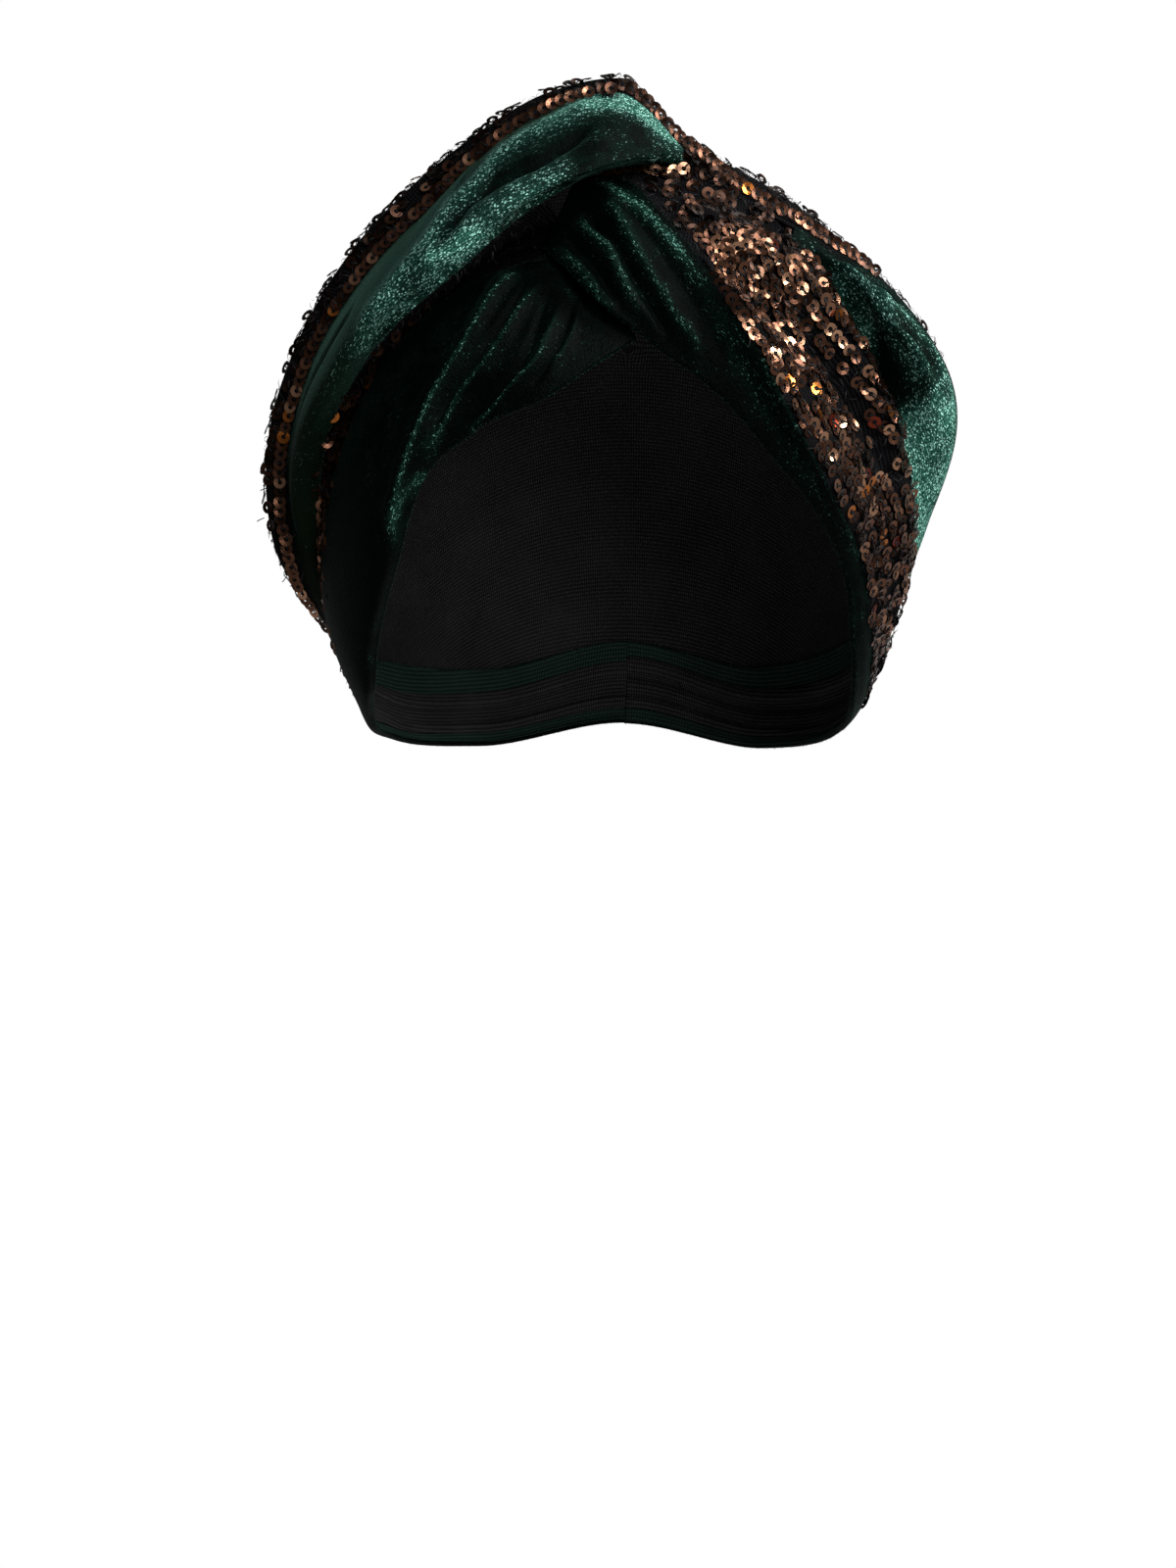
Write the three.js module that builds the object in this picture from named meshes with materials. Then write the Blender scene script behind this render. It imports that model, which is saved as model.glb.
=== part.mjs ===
// Twisted-front turban headwrap: striped velvet and sequin cloth wound round a head.
// Millimetres, +Z up, the face opening towards -Y, origin at the top of the head that wears it.
import * as THREE from 'three';

// Driving dimensions
const HEAD = new THREE.Vector3(75, 95, 108);
const AXIS_TILT = THREE.MathUtils.degToRad(50);
const WALL = 2.0;
const SEAM_GAP = 0.4;
const NORMAL_SPAN = 2.2;
const DEG_TO_MM = 1.75;
const BACK = 180;

// Places are given as an angle round from the front (0) to the nape (180) on each side, a latitude
// towards the wrap's axis, which points up and back, and a lift off the head's egg-shaped surface.
const FRONT = new THREE.Vector3(0, -Math.cos(AXIS_TILT), Math.sin(AXIS_TILT));
const AXIS = new THREE.Vector3(0, Math.sin(AXIS_TILT), Math.cos(AXIS_TILT));

// Each rail is an edge, crest or valley that runs round one side; a column is a station round the head.
const STATIONS = [-10, 0, 10, 20, 30, 45, 60, 75, 95, 120, 150, 180];

const LEFT = {
  sign: -1,
  rails: {
    hem: {
      lat: [17, 7.5, 0.7, -1, -4, -18, -26, -31, -28.5, -17, -1, 11],
      lift: [2.6, 2.6, 2.6, 2.6, 2.6, 2.6, 2.6, 2.6, 2.6, 2.6, 2.6, 2.6],
    },
    lap: {
      lat: [19, 12, 8, 6.5, -3.5, -19.5, -26.5, -31.3, -28, -16.2, -0.2, 12],
      lift: [3.5, 4, 7.5, 9, 8.5, 7.5, 6.5, 5.2, 4.2, 4, 4, 4],
    },
    belly: {
      lat: [24, 18, 16, 15.5, 9, -5, -13, -20, -23.5, -14, 2, 13.5],
      lift: [4, 5, 9.5, 12, 14.5, 15, 14, 11, 6, 5, 4.8, 4.8],
    },
    outer: {
      lat: [30, 27, 25, 24, 21.5, 14.5, 1, -9, -18, -11, 4, 16],
      lift: [5, 6, 10.5, 13, 15, 17, 16.5, 13.5, 7, 5.5, 5, 5],
    },
    hollow: {
      lat: [34, 34, 31, 28, 25, 17.5, 3.5, -7.5, -16, -8.5, 6, 18],
      lift: [8, 10, 12, 14, 14, 15, 15.5, 12, 6.5, 6, 5.5, 5.5],
    },
    lip: {
      lat: [34.5, 27.5, 22, 15.5, 12.5, 8, 4, -6, -13.5, -5.5, 9, 21],
      lift: [32, 32, 29, 26.5, 26, 24, 19.5, 13, 7.5, 7, 6.5, 6],
    },
    crest: {
      lat: [35.2, 25.5, 20.5, 15, 10.5, 4.5, 2, -5, -11.5, -2, 12.5, 24],
      lift: [33.5, 35.5, 34, 34, 34, 32.5, 27, 15.5, 8.8, 8.5, 7.5, 7],
    },
    rim: {
      lat: [36, 39, 38, 36, 32, 23.2, 11, -3.6, -8.5, 4, 16.5, 27],
      lift: [34.5, 46.5, 43.5, 38.5, 34.5, 34.5, 31.5, 19.5, 9.5, 9.5, 8.5, 8],
    },
    brow: {
      lat: [44, 43, 42, 41, 37, 28, 14.5, -1.6, -3, 12, 22, 32],
      lift: [36, 49.8, 48, 44.5, 42, 41, 38.5, 27, 13.5, 11, 9, 8],
    },
    slope: {
      lat: [58, 58, 58, 57, 55, 47, 36, 26, 23, 31, 39, 47],
      lift: [22, 28, 28, 28, 28, 28, 26, 20, 13, 9, 7, 6],
    },
    dome: {
      lat: [75, 75, 75, 75, 74, 72, 69, 66, 64, 65, 66, 68],
      lift: [10, 11, 11, 11, 11, 11, 11, 10, 8, 6, 5, 5],
    },
    pole: {
      lat: [89, 89, 89, 89, 89, 89, 89, 89, 89, 89, 89, 89],
      lift: [5, 5, 5, 5, 5, 5, 5, 5, 5, 5, 5, 5],
    },
  },
};

const RIGHT = {
  sign: 1,
  rails: {
    hem: {
      lat: [26.5, 13.4, 8.9, 4.2, -1.3, -5.8, -10, -18, -21, -13, 0, 11],
      lift: [13, 9.5, 3.1, 2.6, 2.6, 2.6, 2.6, 2.6, 2.6, 2.6, 2.6, 2.6],
    },
    pleat: {
      lat: [31, 23, 15, 8, 1, -5, -8.5, -15.5, -18, -10.8, 2, 13.5],
      lift: [17, 18, 14, 9.5, 7.5, 5.5, 4.5, 4.5, 4.5, 4.2, 4.2, 4.2],
    },
    outer: {
      lat: [36, 33, 21.5, 9.5, 0, -5.5, -6.5, -13, -15, -8.8, 4, 16],
      lift: [22, 26, 21.5, 17.5, 13.5, 8.5, 6, 5.5, 5.5, 5, 5, 5],
    },
    crease: {
      lat: [37, 34.5, 25, 17, 15, 10, 3, -5, -10, -3.8, 7.5, 19],
      lift: [23, 27, 22, 18, 16.5, 17, 14, 10, 7, 6.5, 6, 5.5],
    },
    ridge: {
      lat: [37.3, 36, 29, 23, 21, 13.5, 7, 0, -7, -1.3, 9.3, 20.5],
      lift: [24.5, 28.5, 26, 25.5, 25, 22, 19.5, 15, 9, 8, 7.5, 7],
    },
    edge: {
      lat: [38, 37, 33, 30, 27, 18, 11, 4.5, -3, 2.2, 11.2, 22],
      lift: [25, 28, 27.5, 29, 28.5, 24, 22, 17.5, 9.5, 8, 7, 6.5],
    },
    crest: {
      lat: [39, 38, 34.5, 30.3, 28, 15.5, 14, 9, 1.5, 6.5, 14, 24.5],
      lift: [30, 38, 31, 29.4, 31, 37.5, 36.5, 22.5, 9, 9, 8, 7.5],
    },
    rim: {
      lat: [38, 39, 36, 30.8, 29, 29, 23, 14, 6.5, 11.5, 18, 27],
      lift: [43.5, 46.5, 34.5, 30, 32, 37.5, 41, 24.5, 10.5, 10, 8.5, 8],
    },
    brow: {
      lat: [42, 43, 44, 43, 40.5, 36, 33, 24, 15, 19, 25.5, 32],
      lift: [48, 49.8, 36, 32.5, 33, 35.5, 37.5, 25.5, 14, 11, 9, 8],
    },
    slope: {
      lat: [58, 58, 58, 57, 55, 50, 47, 42, 36, 37, 41, 47],
      lift: [28, 28, 24, 22.5, 23, 24.5, 24.5, 20, 13, 9, 7, 6],
    },
    dome: {
      lat: [75, 75, 75, 75, 74, 73, 72, 70, 68, 67, 67, 68],
      lift: [11, 11, 11, 11, 11, 11, 11, 10, 8, 6, 5, 5],
    },
    pole: {
      lat: [89, 89, 89, 89, 89, 89, 89, 89, 89, 89, 89, 89],
      lift: [5, 5, 5, 5, 5, 5, 5, 5, 5, 5, 5, 5],
    },
  },
};

function headPoint(angle, lat, lift) {
  const a = THREE.MathUtils.degToRad(angle);
  const b = THREE.MathUtils.degToRad(lat);
  const ray = new THREE.Vector3(Math.cos(b) * Math.sin(a), 0, 0);
  ray.addScaledVector(FRONT, Math.cos(b) * Math.cos(a));
  ray.addScaledVector(AXIS, Math.sin(b));
  const radius = 1 / ray.clone().divide(HEAD).length();
  return ray.multiplyScalar(radius + lift);
}

// Smooth value at x of a curve through (knots, values); the slopes are limited so that it never overshoots
function along(knots, values, x) {
  const last = knots.length - 1;
  let i = 0;
  while (i < last - 1 && x > knots[i + 1]) i += 1;
  const secant = (k) => (values[k + 1] - values[k]) / (knots[k + 1] - knots[k]);
  const slope = (k) => {
    if (k <= 0) return secant(0);
    if (k >= last) return 0;
    const before = secant(k - 1);
    const after = secant(k);
    if (before * after <= 0) return 0;
    return (2 * before * after) / (before + after);
  };
  return hermite(knots[i], knots[i + 1], values[i], values[i + 1], slope(i), slope(i + 1), x);
}

function hermite(x0, x1, y0, y1, m0, m1, x) {
  const h = x1 - x0;
  const t = (x - x0) / h;
  const rest = 1 - t;
  const ends = y0 * (1 + 2 * t) * rest * rest + y1 * (3 - 2 * t) * t * t;
  return ends + h * t * rest * (m0 * rest - m1 * t);
}

// The rails of one side at one angle, as latitudes and lifts with knots spaced by the way between them
function sectionAt(side, angle) {
  const rails = Object.values(side.rails);
  const lat = rails.map((rail) => along(STATIONS, rail.lat, angle));
  const lift = rails.map((rail) => along(STATIONS, rail.lift, angle));
  const knots = [0];
  for (let i = 1; i < rails.length; i += 1) {
    const way = Math.hypot((lat[i] - lat[i - 1]) * DEG_TO_MM, lift[i] - lift[i - 1]);
    knots.push(knots[i - 1] + Math.sqrt(way));
  }
  return { lat, lift, knots };
}

// Value at a place across the section: 2.5 is half way from the third rail to the fourth
function across(section, values, place) {
  const { knots } = section;
  const last = knots.length - 1;
  const i = Math.min(Math.max(Math.floor(place), 0), last - 1);
  const secant = (k) => (values[k + 1] - values[k]) / (knots[k + 1] - knots[k]);
  const slope = (k) => {
    if (k === 0) return secant(0);
    if (k === last) return secant(last - 1);
    const before = knots[k] - knots[k - 1];
    const after = knots[k + 1] - knots[k];
    return (secant(k - 1) * after + secant(k) * before) / (before + after);
  };
  const x = knots[i] + (place - i) * (knots[i + 1] - knots[i]);
  return hermite(knots[i], knots[i + 1], values[i], values[i + 1], slope(i), slope(i + 1), x);
}

// Raised pleats: each runs through (angle, latitude) pairs, and its ends fade out
const PLEATS = {
  left_front_velvet: [
    { height: 2.2, width: 3.0, angles: [3, 8, 12, 17, 24], lats: [20, 10.5, 6.5, 2, -2] },
    { height: 2.0, width: 3.0, angles: [7, 10, 13, 17], lats: [23, 20, 15.5, 9] },
    { height: 1.6, width: 2.6, angles: [1, 4, 6, 8], lats: [17, 14, 7.5, 3] },
  ],
  right_front_velvet: [
    { height: 2.4, width: 3.2, angles: [-8, -3, 1, 5, 12], lats: [32, 25, 17, 12.5, 9.5] },
    { height: 2.6, width: 3.6, angles: [-4, 0, 4, 8, 13, 18], lats: [32, 27, 19, 13.5, 9.5, 7] },
  ],
  left_rear_velvet: [
    { height: 2.6, width: 6.0, angles: [2, 9, 13, 16, 23, 30], lats: [36, 33, 29, 26, 22, 19] },
  ],
  right_front_sequin: [
    { height: 1.8, width: 4.0, angles: [8, 16, 26, 40, 56], lats: [25, 17, 10, 5, 3] },
  ],
};
const END_FADE = 3.0;
const EDGE_FADE = 0.2;
const PLACE_PROBE = 0.05;
const ANGLE_PROBE = 0.2;
const PLACE_SPAN = 0.5;

function pleatLift(band, angle, lat, place) {
  if (!PLEATS[band.name]) return 0;
  const v = (place - band.low) / (band.high - band.low);
  const edgeFade = Math.min(1, (1 - v) / EDGE_FADE, band.low === 0 ? 1 : v / EDGE_FADE);
  if (edgeFade <= 0) return 0;
  let total = 0;
  for (const pleat of PLEATS[band.name]) {
    const first = pleat.angles[0];
    const last = pleat.angles[pleat.angles.length - 1];
    if (angle <= first || angle >= last) continue;
    const away = (lat - along(pleat.angles, pleat.lats, angle)) * DEG_TO_MM;
    const endFade = Math.min(1, (angle - first) / END_FADE, (last - angle) / END_FADE);
    total += pleat.height * endFade * edgeFade * Math.exp(-((away / pleat.width) ** 2));
  }
  return total;
}

function clothPoint(band, angle, place) {
  const section = sectionAt(band.side, angle);
  const lat = across(section, section.lat, place);
  const lift = across(section, section.lift, place) + pleatLift(band, angle, lat, place);
  return headPoint(band.side.sign * angle, lat, lift);
}

// Distance across the cloth turned into a step of place
function placeStep(band, angle, place, direction, distance) {
  const near = clothPoint(band, angle, place);
  const far = clothPoint(band, angle, place + direction * PLACE_PROBE);
  return (direction * PLACE_PROBE * distance) / near.distanceTo(far);
}

// Taken over a span of cloth rather than at a point, so that the inner wall turns tight corners cleanly
function clothNormal(band, angle, place) {
  const last = Object.keys(band.side.rails).length - 1;
  const down = placeStep(band, angle, place, place > 0 ? -1 : 1, NORMAL_SPAN);
  const up = placeStep(band, angle, place, place < last ? 1 : -1, NORMAL_SPAN);
  const low = Math.max(place + down, place - PLACE_SPAN);
  const high = Math.min(place + up, place + PLACE_SPAN);
  const from = clothPoint(band, angle, Math.max(Math.min(low, place), 0));
  const acrossWay = clothPoint(band, angle, Math.min(Math.max(high, place), last)).sub(from);
  const alongWay = clothPoint(band, angle + ANGLE_PROBE, place).sub(clothPoint(band, angle - ANGLE_PROBE, place));
  return alongWay.cross(acrossWay).multiplyScalar(band.side.sign).normalize();
}

// Joins an outer and an inner grid of points into one closed wall
function wallGeometry(outer, inner) {
  const columns = outer.length;
  const rows = outer[0].length;
  const positions = [];
  for (const grid of [outer, inner]) {
    for (const column of grid) {
      for (const point of column) positions.push(point.x, point.y, point.z);
    }
  }
  const at = (layer, i, j) => layer * columns * rows + i * rows + j;
  const indices = [];
  const quad = (a, b, c, d) => indices.push(a, b, c, a, c, d);
  const end = columns - 1;
  for (let i = 0; i < end; i += 1) {
    for (let j = 0; j < rows - 1; j += 1) {
      quad(at(0, i, j), at(0, i + 1, j), at(0, i + 1, j + 1), at(0, i, j + 1));
      quad(at(1, i, j), at(1, i, j + 1), at(1, i + 1, j + 1), at(1, i + 1, j));
    }
    quad(at(0, i, 0), at(1, i, 0), at(1, i + 1, 0), at(0, i + 1, 0));
    quad(at(1, i + 1, rows - 1), at(1, i, rows - 1), at(0, i, rows - 1), at(0, i + 1, rows - 1));
  }
  for (let j = 0; j < rows - 1; j += 1) {
    quad(at(0, 0, j + 1), at(1, 0, j + 1), at(1, 0, j), at(0, 0, j));
    quad(at(0, end, j), at(1, end, j), at(1, end, j + 1), at(0, end, j + 1));
  }
  const geometry = new THREE.BufferGeometry();
  geometry.setAttribute('position', new THREE.Float32BufferAttribute(positions, 3));
  geometry.setIndex(indices);
  return geometry;
}

const VELVET = new THREE.MeshStandardMaterial({ color: 0x12382c, roughness: 0.85, metalness: 0.0 });
const SEQUIN = new THREE.MeshStandardMaterial({ color: 0x6b3f2a, roughness: 0.35, metalness: 0.7 });

// One row for each stripe of cloth: the rails it runs between, and the angles where its two edges start.
// A flap is where the stripe's upper edge climbs to a further rail, between two angles.
const BANDS = [
  { name: 'left_front_velvet', side: LEFT, from: 'hem', to: 'outer', starts: [-4.5, 4], rows: 13 },
  { name: 'left_front_sequin', side: LEFT, from: 'outer', to: 'lip', starts: [11, 12], rows: 6 },
  { name: 'left_rear_velvet', side: LEFT, from: 'lip', to: 'rim', starts: [-10, -10], rows: 9 },
  { name: 'right_front_velvet', side: RIGHT, from: 'hem', to: 'outer', starts: [-10, -6], rows: 11 },
  {
    name: 'right_front_sequin', side: RIGHT, from: 'outer', to: 'edge', starts: [0, 2], rows: 11,
    flap: { to: 'rim', angles: [11, 23] },
  },
  { name: 'right_rear_velvet', side: RIGHT, from: 'edge', to: 'rim', starts: [27, 27], rows: 8 },
];
const CROWN = { name: 'crown_sequin', from: 'rim', to: 'pole', rows: 12 };

// Columns are at the same angles in every band, so that neighbours keep their gap, and closest in front
const COLUMNS = 33;
const CROWDING = 1.5;
const NAPE_END = BACK - THREE.MathUtils.radToDeg(SEAM_GAP / 2 / HEAD.y);
const SHARED_ANGLES = Array.from({ length: COLUMNS }, (_, i) => NAPE_END * (i / (COLUMNS - 1)) ** CROWDING);
const FREE_END_STEPS = 3;
const FREE_END_CLEARANCE = 1;

// A band with its two rails counted as places across the section
function placed(band) {
  const rails = Object.keys(band.side.rails);
  return { ...band, low: rails.indexOf(band.from), high: rails.indexOf(band.to) };
}

// Place of the stripe's upper edge at one angle
function upperPlace(band, angle) {
  if (!band.flap || angle < band.flap.angles[0] || angle > band.flap.angles[1]) return band.high;
  return Object.keys(band.side.rails).indexOf(band.flap.to);
}

// The outer point of the cloth at v of its width, drawn back from a seam by half its gap, and the inner
// point one wall deeper; both sides of a seam take the seam's own normal, so their edges stay parallel
function wallPoints(band, angle, v) {
  const place = band.low + (upperPlace(band, angle) - band.low) * v;
  let inset = 0;
  if (v === 0 && band.low > 0) inset = placeStep(band, angle, place, 1, SEAM_GAP / 2);
  if (v === 1 && band.seamed) inset = placeStep(band, angle, place, -1, SEAM_GAP / 2);
  const point = clothPoint(band, angle, place + inset);
  return [point, point.clone().addScaledVector(clothNormal(band, angle, place), -WALL)];
}

// From a slanted free end, a few columns lead to the first shared angle that is clear of it
function columnAngles(band, v) {
  const start = band.starts[0] + (band.starts[1] - band.starts[0]) * v;
  const shared = SHARED_ANGLES.filter((angle) => angle > Math.max(...band.starts) + FREE_END_CLEARANCE);
  const lead = Array.from({ length: FREE_END_STEPS }, (_, i) => i / FREE_END_STEPS);
  return [...lead.map((t) => start + (shared[0] - start) * t), ...shared];
}

function bandMesh(band) {
  const { rows } = band;
  const columns = columnAngles(band, 0).length;
  const outer = [];
  const inner = [];
  for (let i = 0; i < columns; i += 1) {
    const outerColumn = [];
    const innerColumn = [];
    for (let j = 0; j < rows; j += 1) {
      const v = j / (rows - 1);
      const angle = columnAngles(band, v)[i];
      const [outerPoint, innerPoint] = wallPoints(band, angle, v);
      outerColumn.push(outerPoint);
      innerColumn.push(innerPoint);
    }
    outer.push(outerColumn);
    inner.push(innerColumn);
  }
  if (band.side.sign < 0) {
    outer.reverse();
    inner.reverse();
  }
  return wallGeometry(outer, inner);
}

// The closed crown goes right round, from the rear edge of the outer stripes to the wrap's axis
function crownMesh() {
  const { rows } = CROWN;
  const turns = [...SHARED_ANGLES.slice(1, -1).map((angle) => -angle).reverse(), ...SHARED_ANGLES];
  const outer = [];
  const inner = [];
  for (const turn of turns) {
    const band = placed({ ...CROWN, side: turn < 0 ? LEFT : RIGHT });
    const angle = turn > SHARED_ANGLES[COLUMNS - 2] ? BACK : Math.abs(turn);
    const outerColumn = [];
    const innerColumn = [];
    for (let j = 0; j < rows; j += 1) {
      const [outerPoint, innerPoint] = wallPoints(band, angle, j / (rows - 1));
      outerColumn.push(outerPoint);
      innerColumn.push(innerPoint);
    }
    outer.push(outerColumn);
    inner.push(innerColumn);
  }
  return cappedGeometry(outer, inner);
}

// A round wall whose last row is drawn in to a point on the axis
function cappedGeometry(outer, inner) {
  const columns = outer.length;
  const rows = outer[0].length;
  const positions = [];
  const indices = [];
  for (const grid of [outer, inner]) {
    for (const column of grid) {
      for (const point of column) positions.push(point.x, point.y, point.z);
    }
  }
  for (const grid of [outer, inner]) {
    const tip = new THREE.Vector3();
    for (const column of grid) tip.add(column[rows - 1]);
    tip.divideScalar(columns);
    positions.push(tip.x, tip.y, tip.z);
  }
  const at = (layer, i, j) => layer * columns * rows + (i % columns) * rows + j;
  const tipAt = (layer) => 2 * columns * rows + layer;
  const quad = (a, b, c, d) => indices.push(a, b, c, a, c, d);
  for (let i = 0; i < columns; i += 1) {
    for (let j = 0; j < rows - 1; j += 1) {
      quad(at(0, i, j), at(0, i + 1, j), at(0, i + 1, j + 1), at(0, i, j + 1));
      quad(at(1, i, j), at(1, i, j + 1), at(1, i + 1, j + 1), at(1, i + 1, j));
    }
    quad(at(0, i, 0), at(1, i, 0), at(1, i + 1, 0), at(0, i + 1, 0));
    indices.push(at(0, i, rows - 1), at(0, i + 1, rows - 1), tipAt(0));
    indices.push(at(1, i + 1, rows - 1), at(1, i, rows - 1), tipAt(1));
  }
  const geometry = new THREE.BufferGeometry();
  geometry.setAttribute('position', new THREE.Float32BufferAttribute(positions, 3));
  geometry.setIndex(indices);
  return geometry;
}

const headwrap = new THREE.Group();
for (const band of BANDS) {
  const cloth = band.name.endsWith('velvet') ? VELVET : SEQUIN;
  const mesh = new THREE.Mesh(bandMesh(placed({ ...band, seamed: true })), cloth);
  mesh.name = band.name;
  headwrap.add(mesh);
}
const crown = new THREE.Mesh(crownMesh(), SEQUIN);
crown.name = CROWN.name;
headwrap.add(crown);

// The tables are about the head's middle; the finished wrap has its origin at the top of the head
headwrap.position.set(0, 0, -HEAD.z);
headwrap.updateMatrixWorld(true);

export default headwrap;
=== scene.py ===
import math

import bpy
import numpy as np
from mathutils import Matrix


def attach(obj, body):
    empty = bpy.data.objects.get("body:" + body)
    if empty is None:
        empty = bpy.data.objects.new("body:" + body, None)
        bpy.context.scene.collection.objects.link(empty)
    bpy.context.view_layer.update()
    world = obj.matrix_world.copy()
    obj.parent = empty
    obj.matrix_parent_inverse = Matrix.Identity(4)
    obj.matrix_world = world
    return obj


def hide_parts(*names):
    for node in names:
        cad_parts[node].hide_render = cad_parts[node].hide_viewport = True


# Twisted-front turban headwrap in green velvet and copper sequins, worn shape, without the head.
# The tables are in millimetres about the head's middle; the frame's origin is the top of the head.

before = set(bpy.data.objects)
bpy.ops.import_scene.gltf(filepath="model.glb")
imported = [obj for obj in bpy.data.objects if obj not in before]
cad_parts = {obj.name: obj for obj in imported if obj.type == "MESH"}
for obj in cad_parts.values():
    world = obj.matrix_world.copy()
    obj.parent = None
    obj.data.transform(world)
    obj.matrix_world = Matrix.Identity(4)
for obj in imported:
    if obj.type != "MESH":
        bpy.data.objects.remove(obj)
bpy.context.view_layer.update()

HEAD = np.array([75.0, 95.0, 108.0])
AXIS_TILT = math.radians(50)
FRONT = np.array([0.0, -math.cos(AXIS_TILT), math.sin(AXIS_TILT)])
AXIS = np.array([0.0, math.sin(AXIS_TILT), math.cos(AXIS_TILT)])
# Length of a degree of latitude on the head, in mm, and the angle at which the two sides meet at the back
DEG_TO_MM = 1.75
NAPE = 180.15

# Angles round from the front at which the rails are given
STATIONS = np.array([-10, 0, 10, 20, 30, 45, 60, 75, 95, 120, 150, 180], float)

# Rails as (latitudes, lifts) at the stations, from the face edge up to the wrap's pole
LEFT = {
    "hem": ([17, 7.5, 0.7, -1, -4, -18, -26, -31, -28.5, -17, -1, 11], [2.6] * 12),
    "lap": ([19, 12, 8, 6.5, -3.5, -19.5, -26.5, -31.3, -28, -16.2, -0.2, 12],
            [3.5, 4, 7.5, 9, 8.5, 7.5, 6.5, 5.2, 4.2, 4, 4, 4]),
    "belly": ([24, 18, 16, 15.5, 9, -5, -13, -20, -23.5, -14, 2, 13.5],
              [4, 5, 9.5, 12, 14.5, 15, 14, 11, 6, 5, 4.8, 4.8]),
    "outer": ([30, 27, 25, 24, 21.5, 14.5, 1, -9, -18, -11, 4, 16],
              [5, 6, 10.5, 13, 15, 17, 16.5, 13.5, 7, 5.5, 5, 5]),
    "hollow": ([34, 34, 31, 28, 25, 17.5, 3.5, -7.5, -16, -8.5, 6, 18],
               [8, 10, 12, 14, 14, 15, 15.5, 12, 6.5, 6, 5.5, 5.5]),
    "lip": ([34.5, 27.5, 22, 15.5, 12.5, 8, 4, -6, -13.5, -5.5, 9, 21],
            [32, 32, 29, 26.5, 26, 24, 19.5, 13, 7.5, 7, 6.5, 6]),
    "crest": ([35.2, 25.5, 20.5, 15, 10.5, 4.5, 2, -5, -11.5, -2, 12.5, 24],
              [33.5, 35.5, 34, 34, 34, 32.5, 27, 15.5, 8.8, 8.5, 7.5, 7]),
    "rim": ([36, 39, 38, 36, 32, 23.2, 11, -3.6, -8.5, 4, 16.5, 27],
            [34.5, 46.5, 43.5, 38.5, 34.5, 34.5, 31.5, 19.5, 9.5, 9.5, 8.5, 8]),
    "brow": ([44, 43, 42, 41, 37, 28, 14.5, -1.6, -3, 12, 22, 32],
             [36, 49.8, 48, 44.5, 42, 41, 38.5, 27, 13.5, 11, 9, 8]),
    "slope": ([58, 58, 58, 57, 55, 47, 36, 26, 23, 31, 39, 47],
              [22, 28, 28, 28, 28, 28, 26, 20, 13, 9, 7, 6]),
    "dome": ([75, 75, 75, 75, 74, 72, 69, 66, 64, 65, 66, 68],
             [10, 11, 11, 11, 11, 11, 11, 10, 8, 6, 5, 5]),
    "pole": ([89] * 12, [5] * 12),
}
RIGHT = {
    "hem": ([26.5, 13.4, 8.9, 4.2, -1.3, -5.8, -10, -18, -21, -13, 0, 11],
            [13, 9.5, 3.1, 2.6, 2.6, 2.6, 2.6, 2.6, 2.6, 2.6, 2.6, 2.6]),
    "pleat": ([31, 23, 15, 8, 1, -5, -8.5, -15.5, -18, -10.8, 2, 13.5],
              [17, 18, 14, 9.5, 7.5, 5.5, 4.5, 4.5, 4.5, 4.2, 4.2, 4.2]),
    "outer": ([36, 33, 21.5, 9.5, 0, -5.5, -6.5, -13, -15, -8.8, 4, 16],
              [22, 26, 21.5, 17.5, 13.5, 8.5, 6, 5.5, 5.5, 5, 5, 5]),
    "crease": ([37, 34.5, 25, 17, 15, 10, 3, -5, -10, -3.8, 7.5, 19],
               [23, 27, 22, 18, 16.5, 17, 14, 10, 7, 6.5, 6, 5.5]),
    "ridge": ([37.3, 36, 29, 23, 21, 13.5, 7, 0, -7, -1.3, 9.3, 20.5],
              [24.5, 28.5, 26, 25.5, 25, 22, 19.5, 15, 9, 8, 7.5, 7]),
    "edge": ([38, 37, 33, 30, 27, 18, 11, 4.5, -3, 2.2, 11.2, 22],
             [25, 28, 27.5, 29, 28.5, 24, 22, 17.5, 9.5, 8, 7, 6.5]),
    "crest": ([39, 38, 34.5, 30.3, 28, 15.5, 14, 9, 1.5, 6.5, 14, 24.5],
              [30, 38, 31, 29.4, 31, 37.5, 36.5, 22.5, 9, 9, 8, 7.5]),
    "rim": ([38, 39, 36, 30.8, 29, 29, 23, 14, 6.5, 11.5, 18, 27],
            [43.5, 46.5, 34.5, 30, 32, 37.5, 41, 24.5, 10.5, 10, 8.5, 8]),
    "brow": ([42, 43, 44, 43, 40.5, 36, 33, 24, 15, 19, 25.5, 32],
             [48, 49.8, 36, 32.5, 33, 35.5, 37.5, 25.5, 14, 11, 9, 8]),
    "slope": ([58, 58, 58, 57, 55, 50, 47, 42, 36, 37, 41, 47],
              [28, 28, 24, 22.5, 23, 24.5, 24.5, 20, 13, 9, 7, 6]),
    "dome": ([75, 75, 75, 75, 74, 73, 72, 70, 68, 67, 67, 68],
             [11, 11, 11, 11, 11, 11, 11, 10, 8, 6, 5, 5]),
    "pole": ([89] * 12, [5] * 12),
}
SIDES = {"left": (-1, LEFT), "right": (1, RIGHT)}

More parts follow.
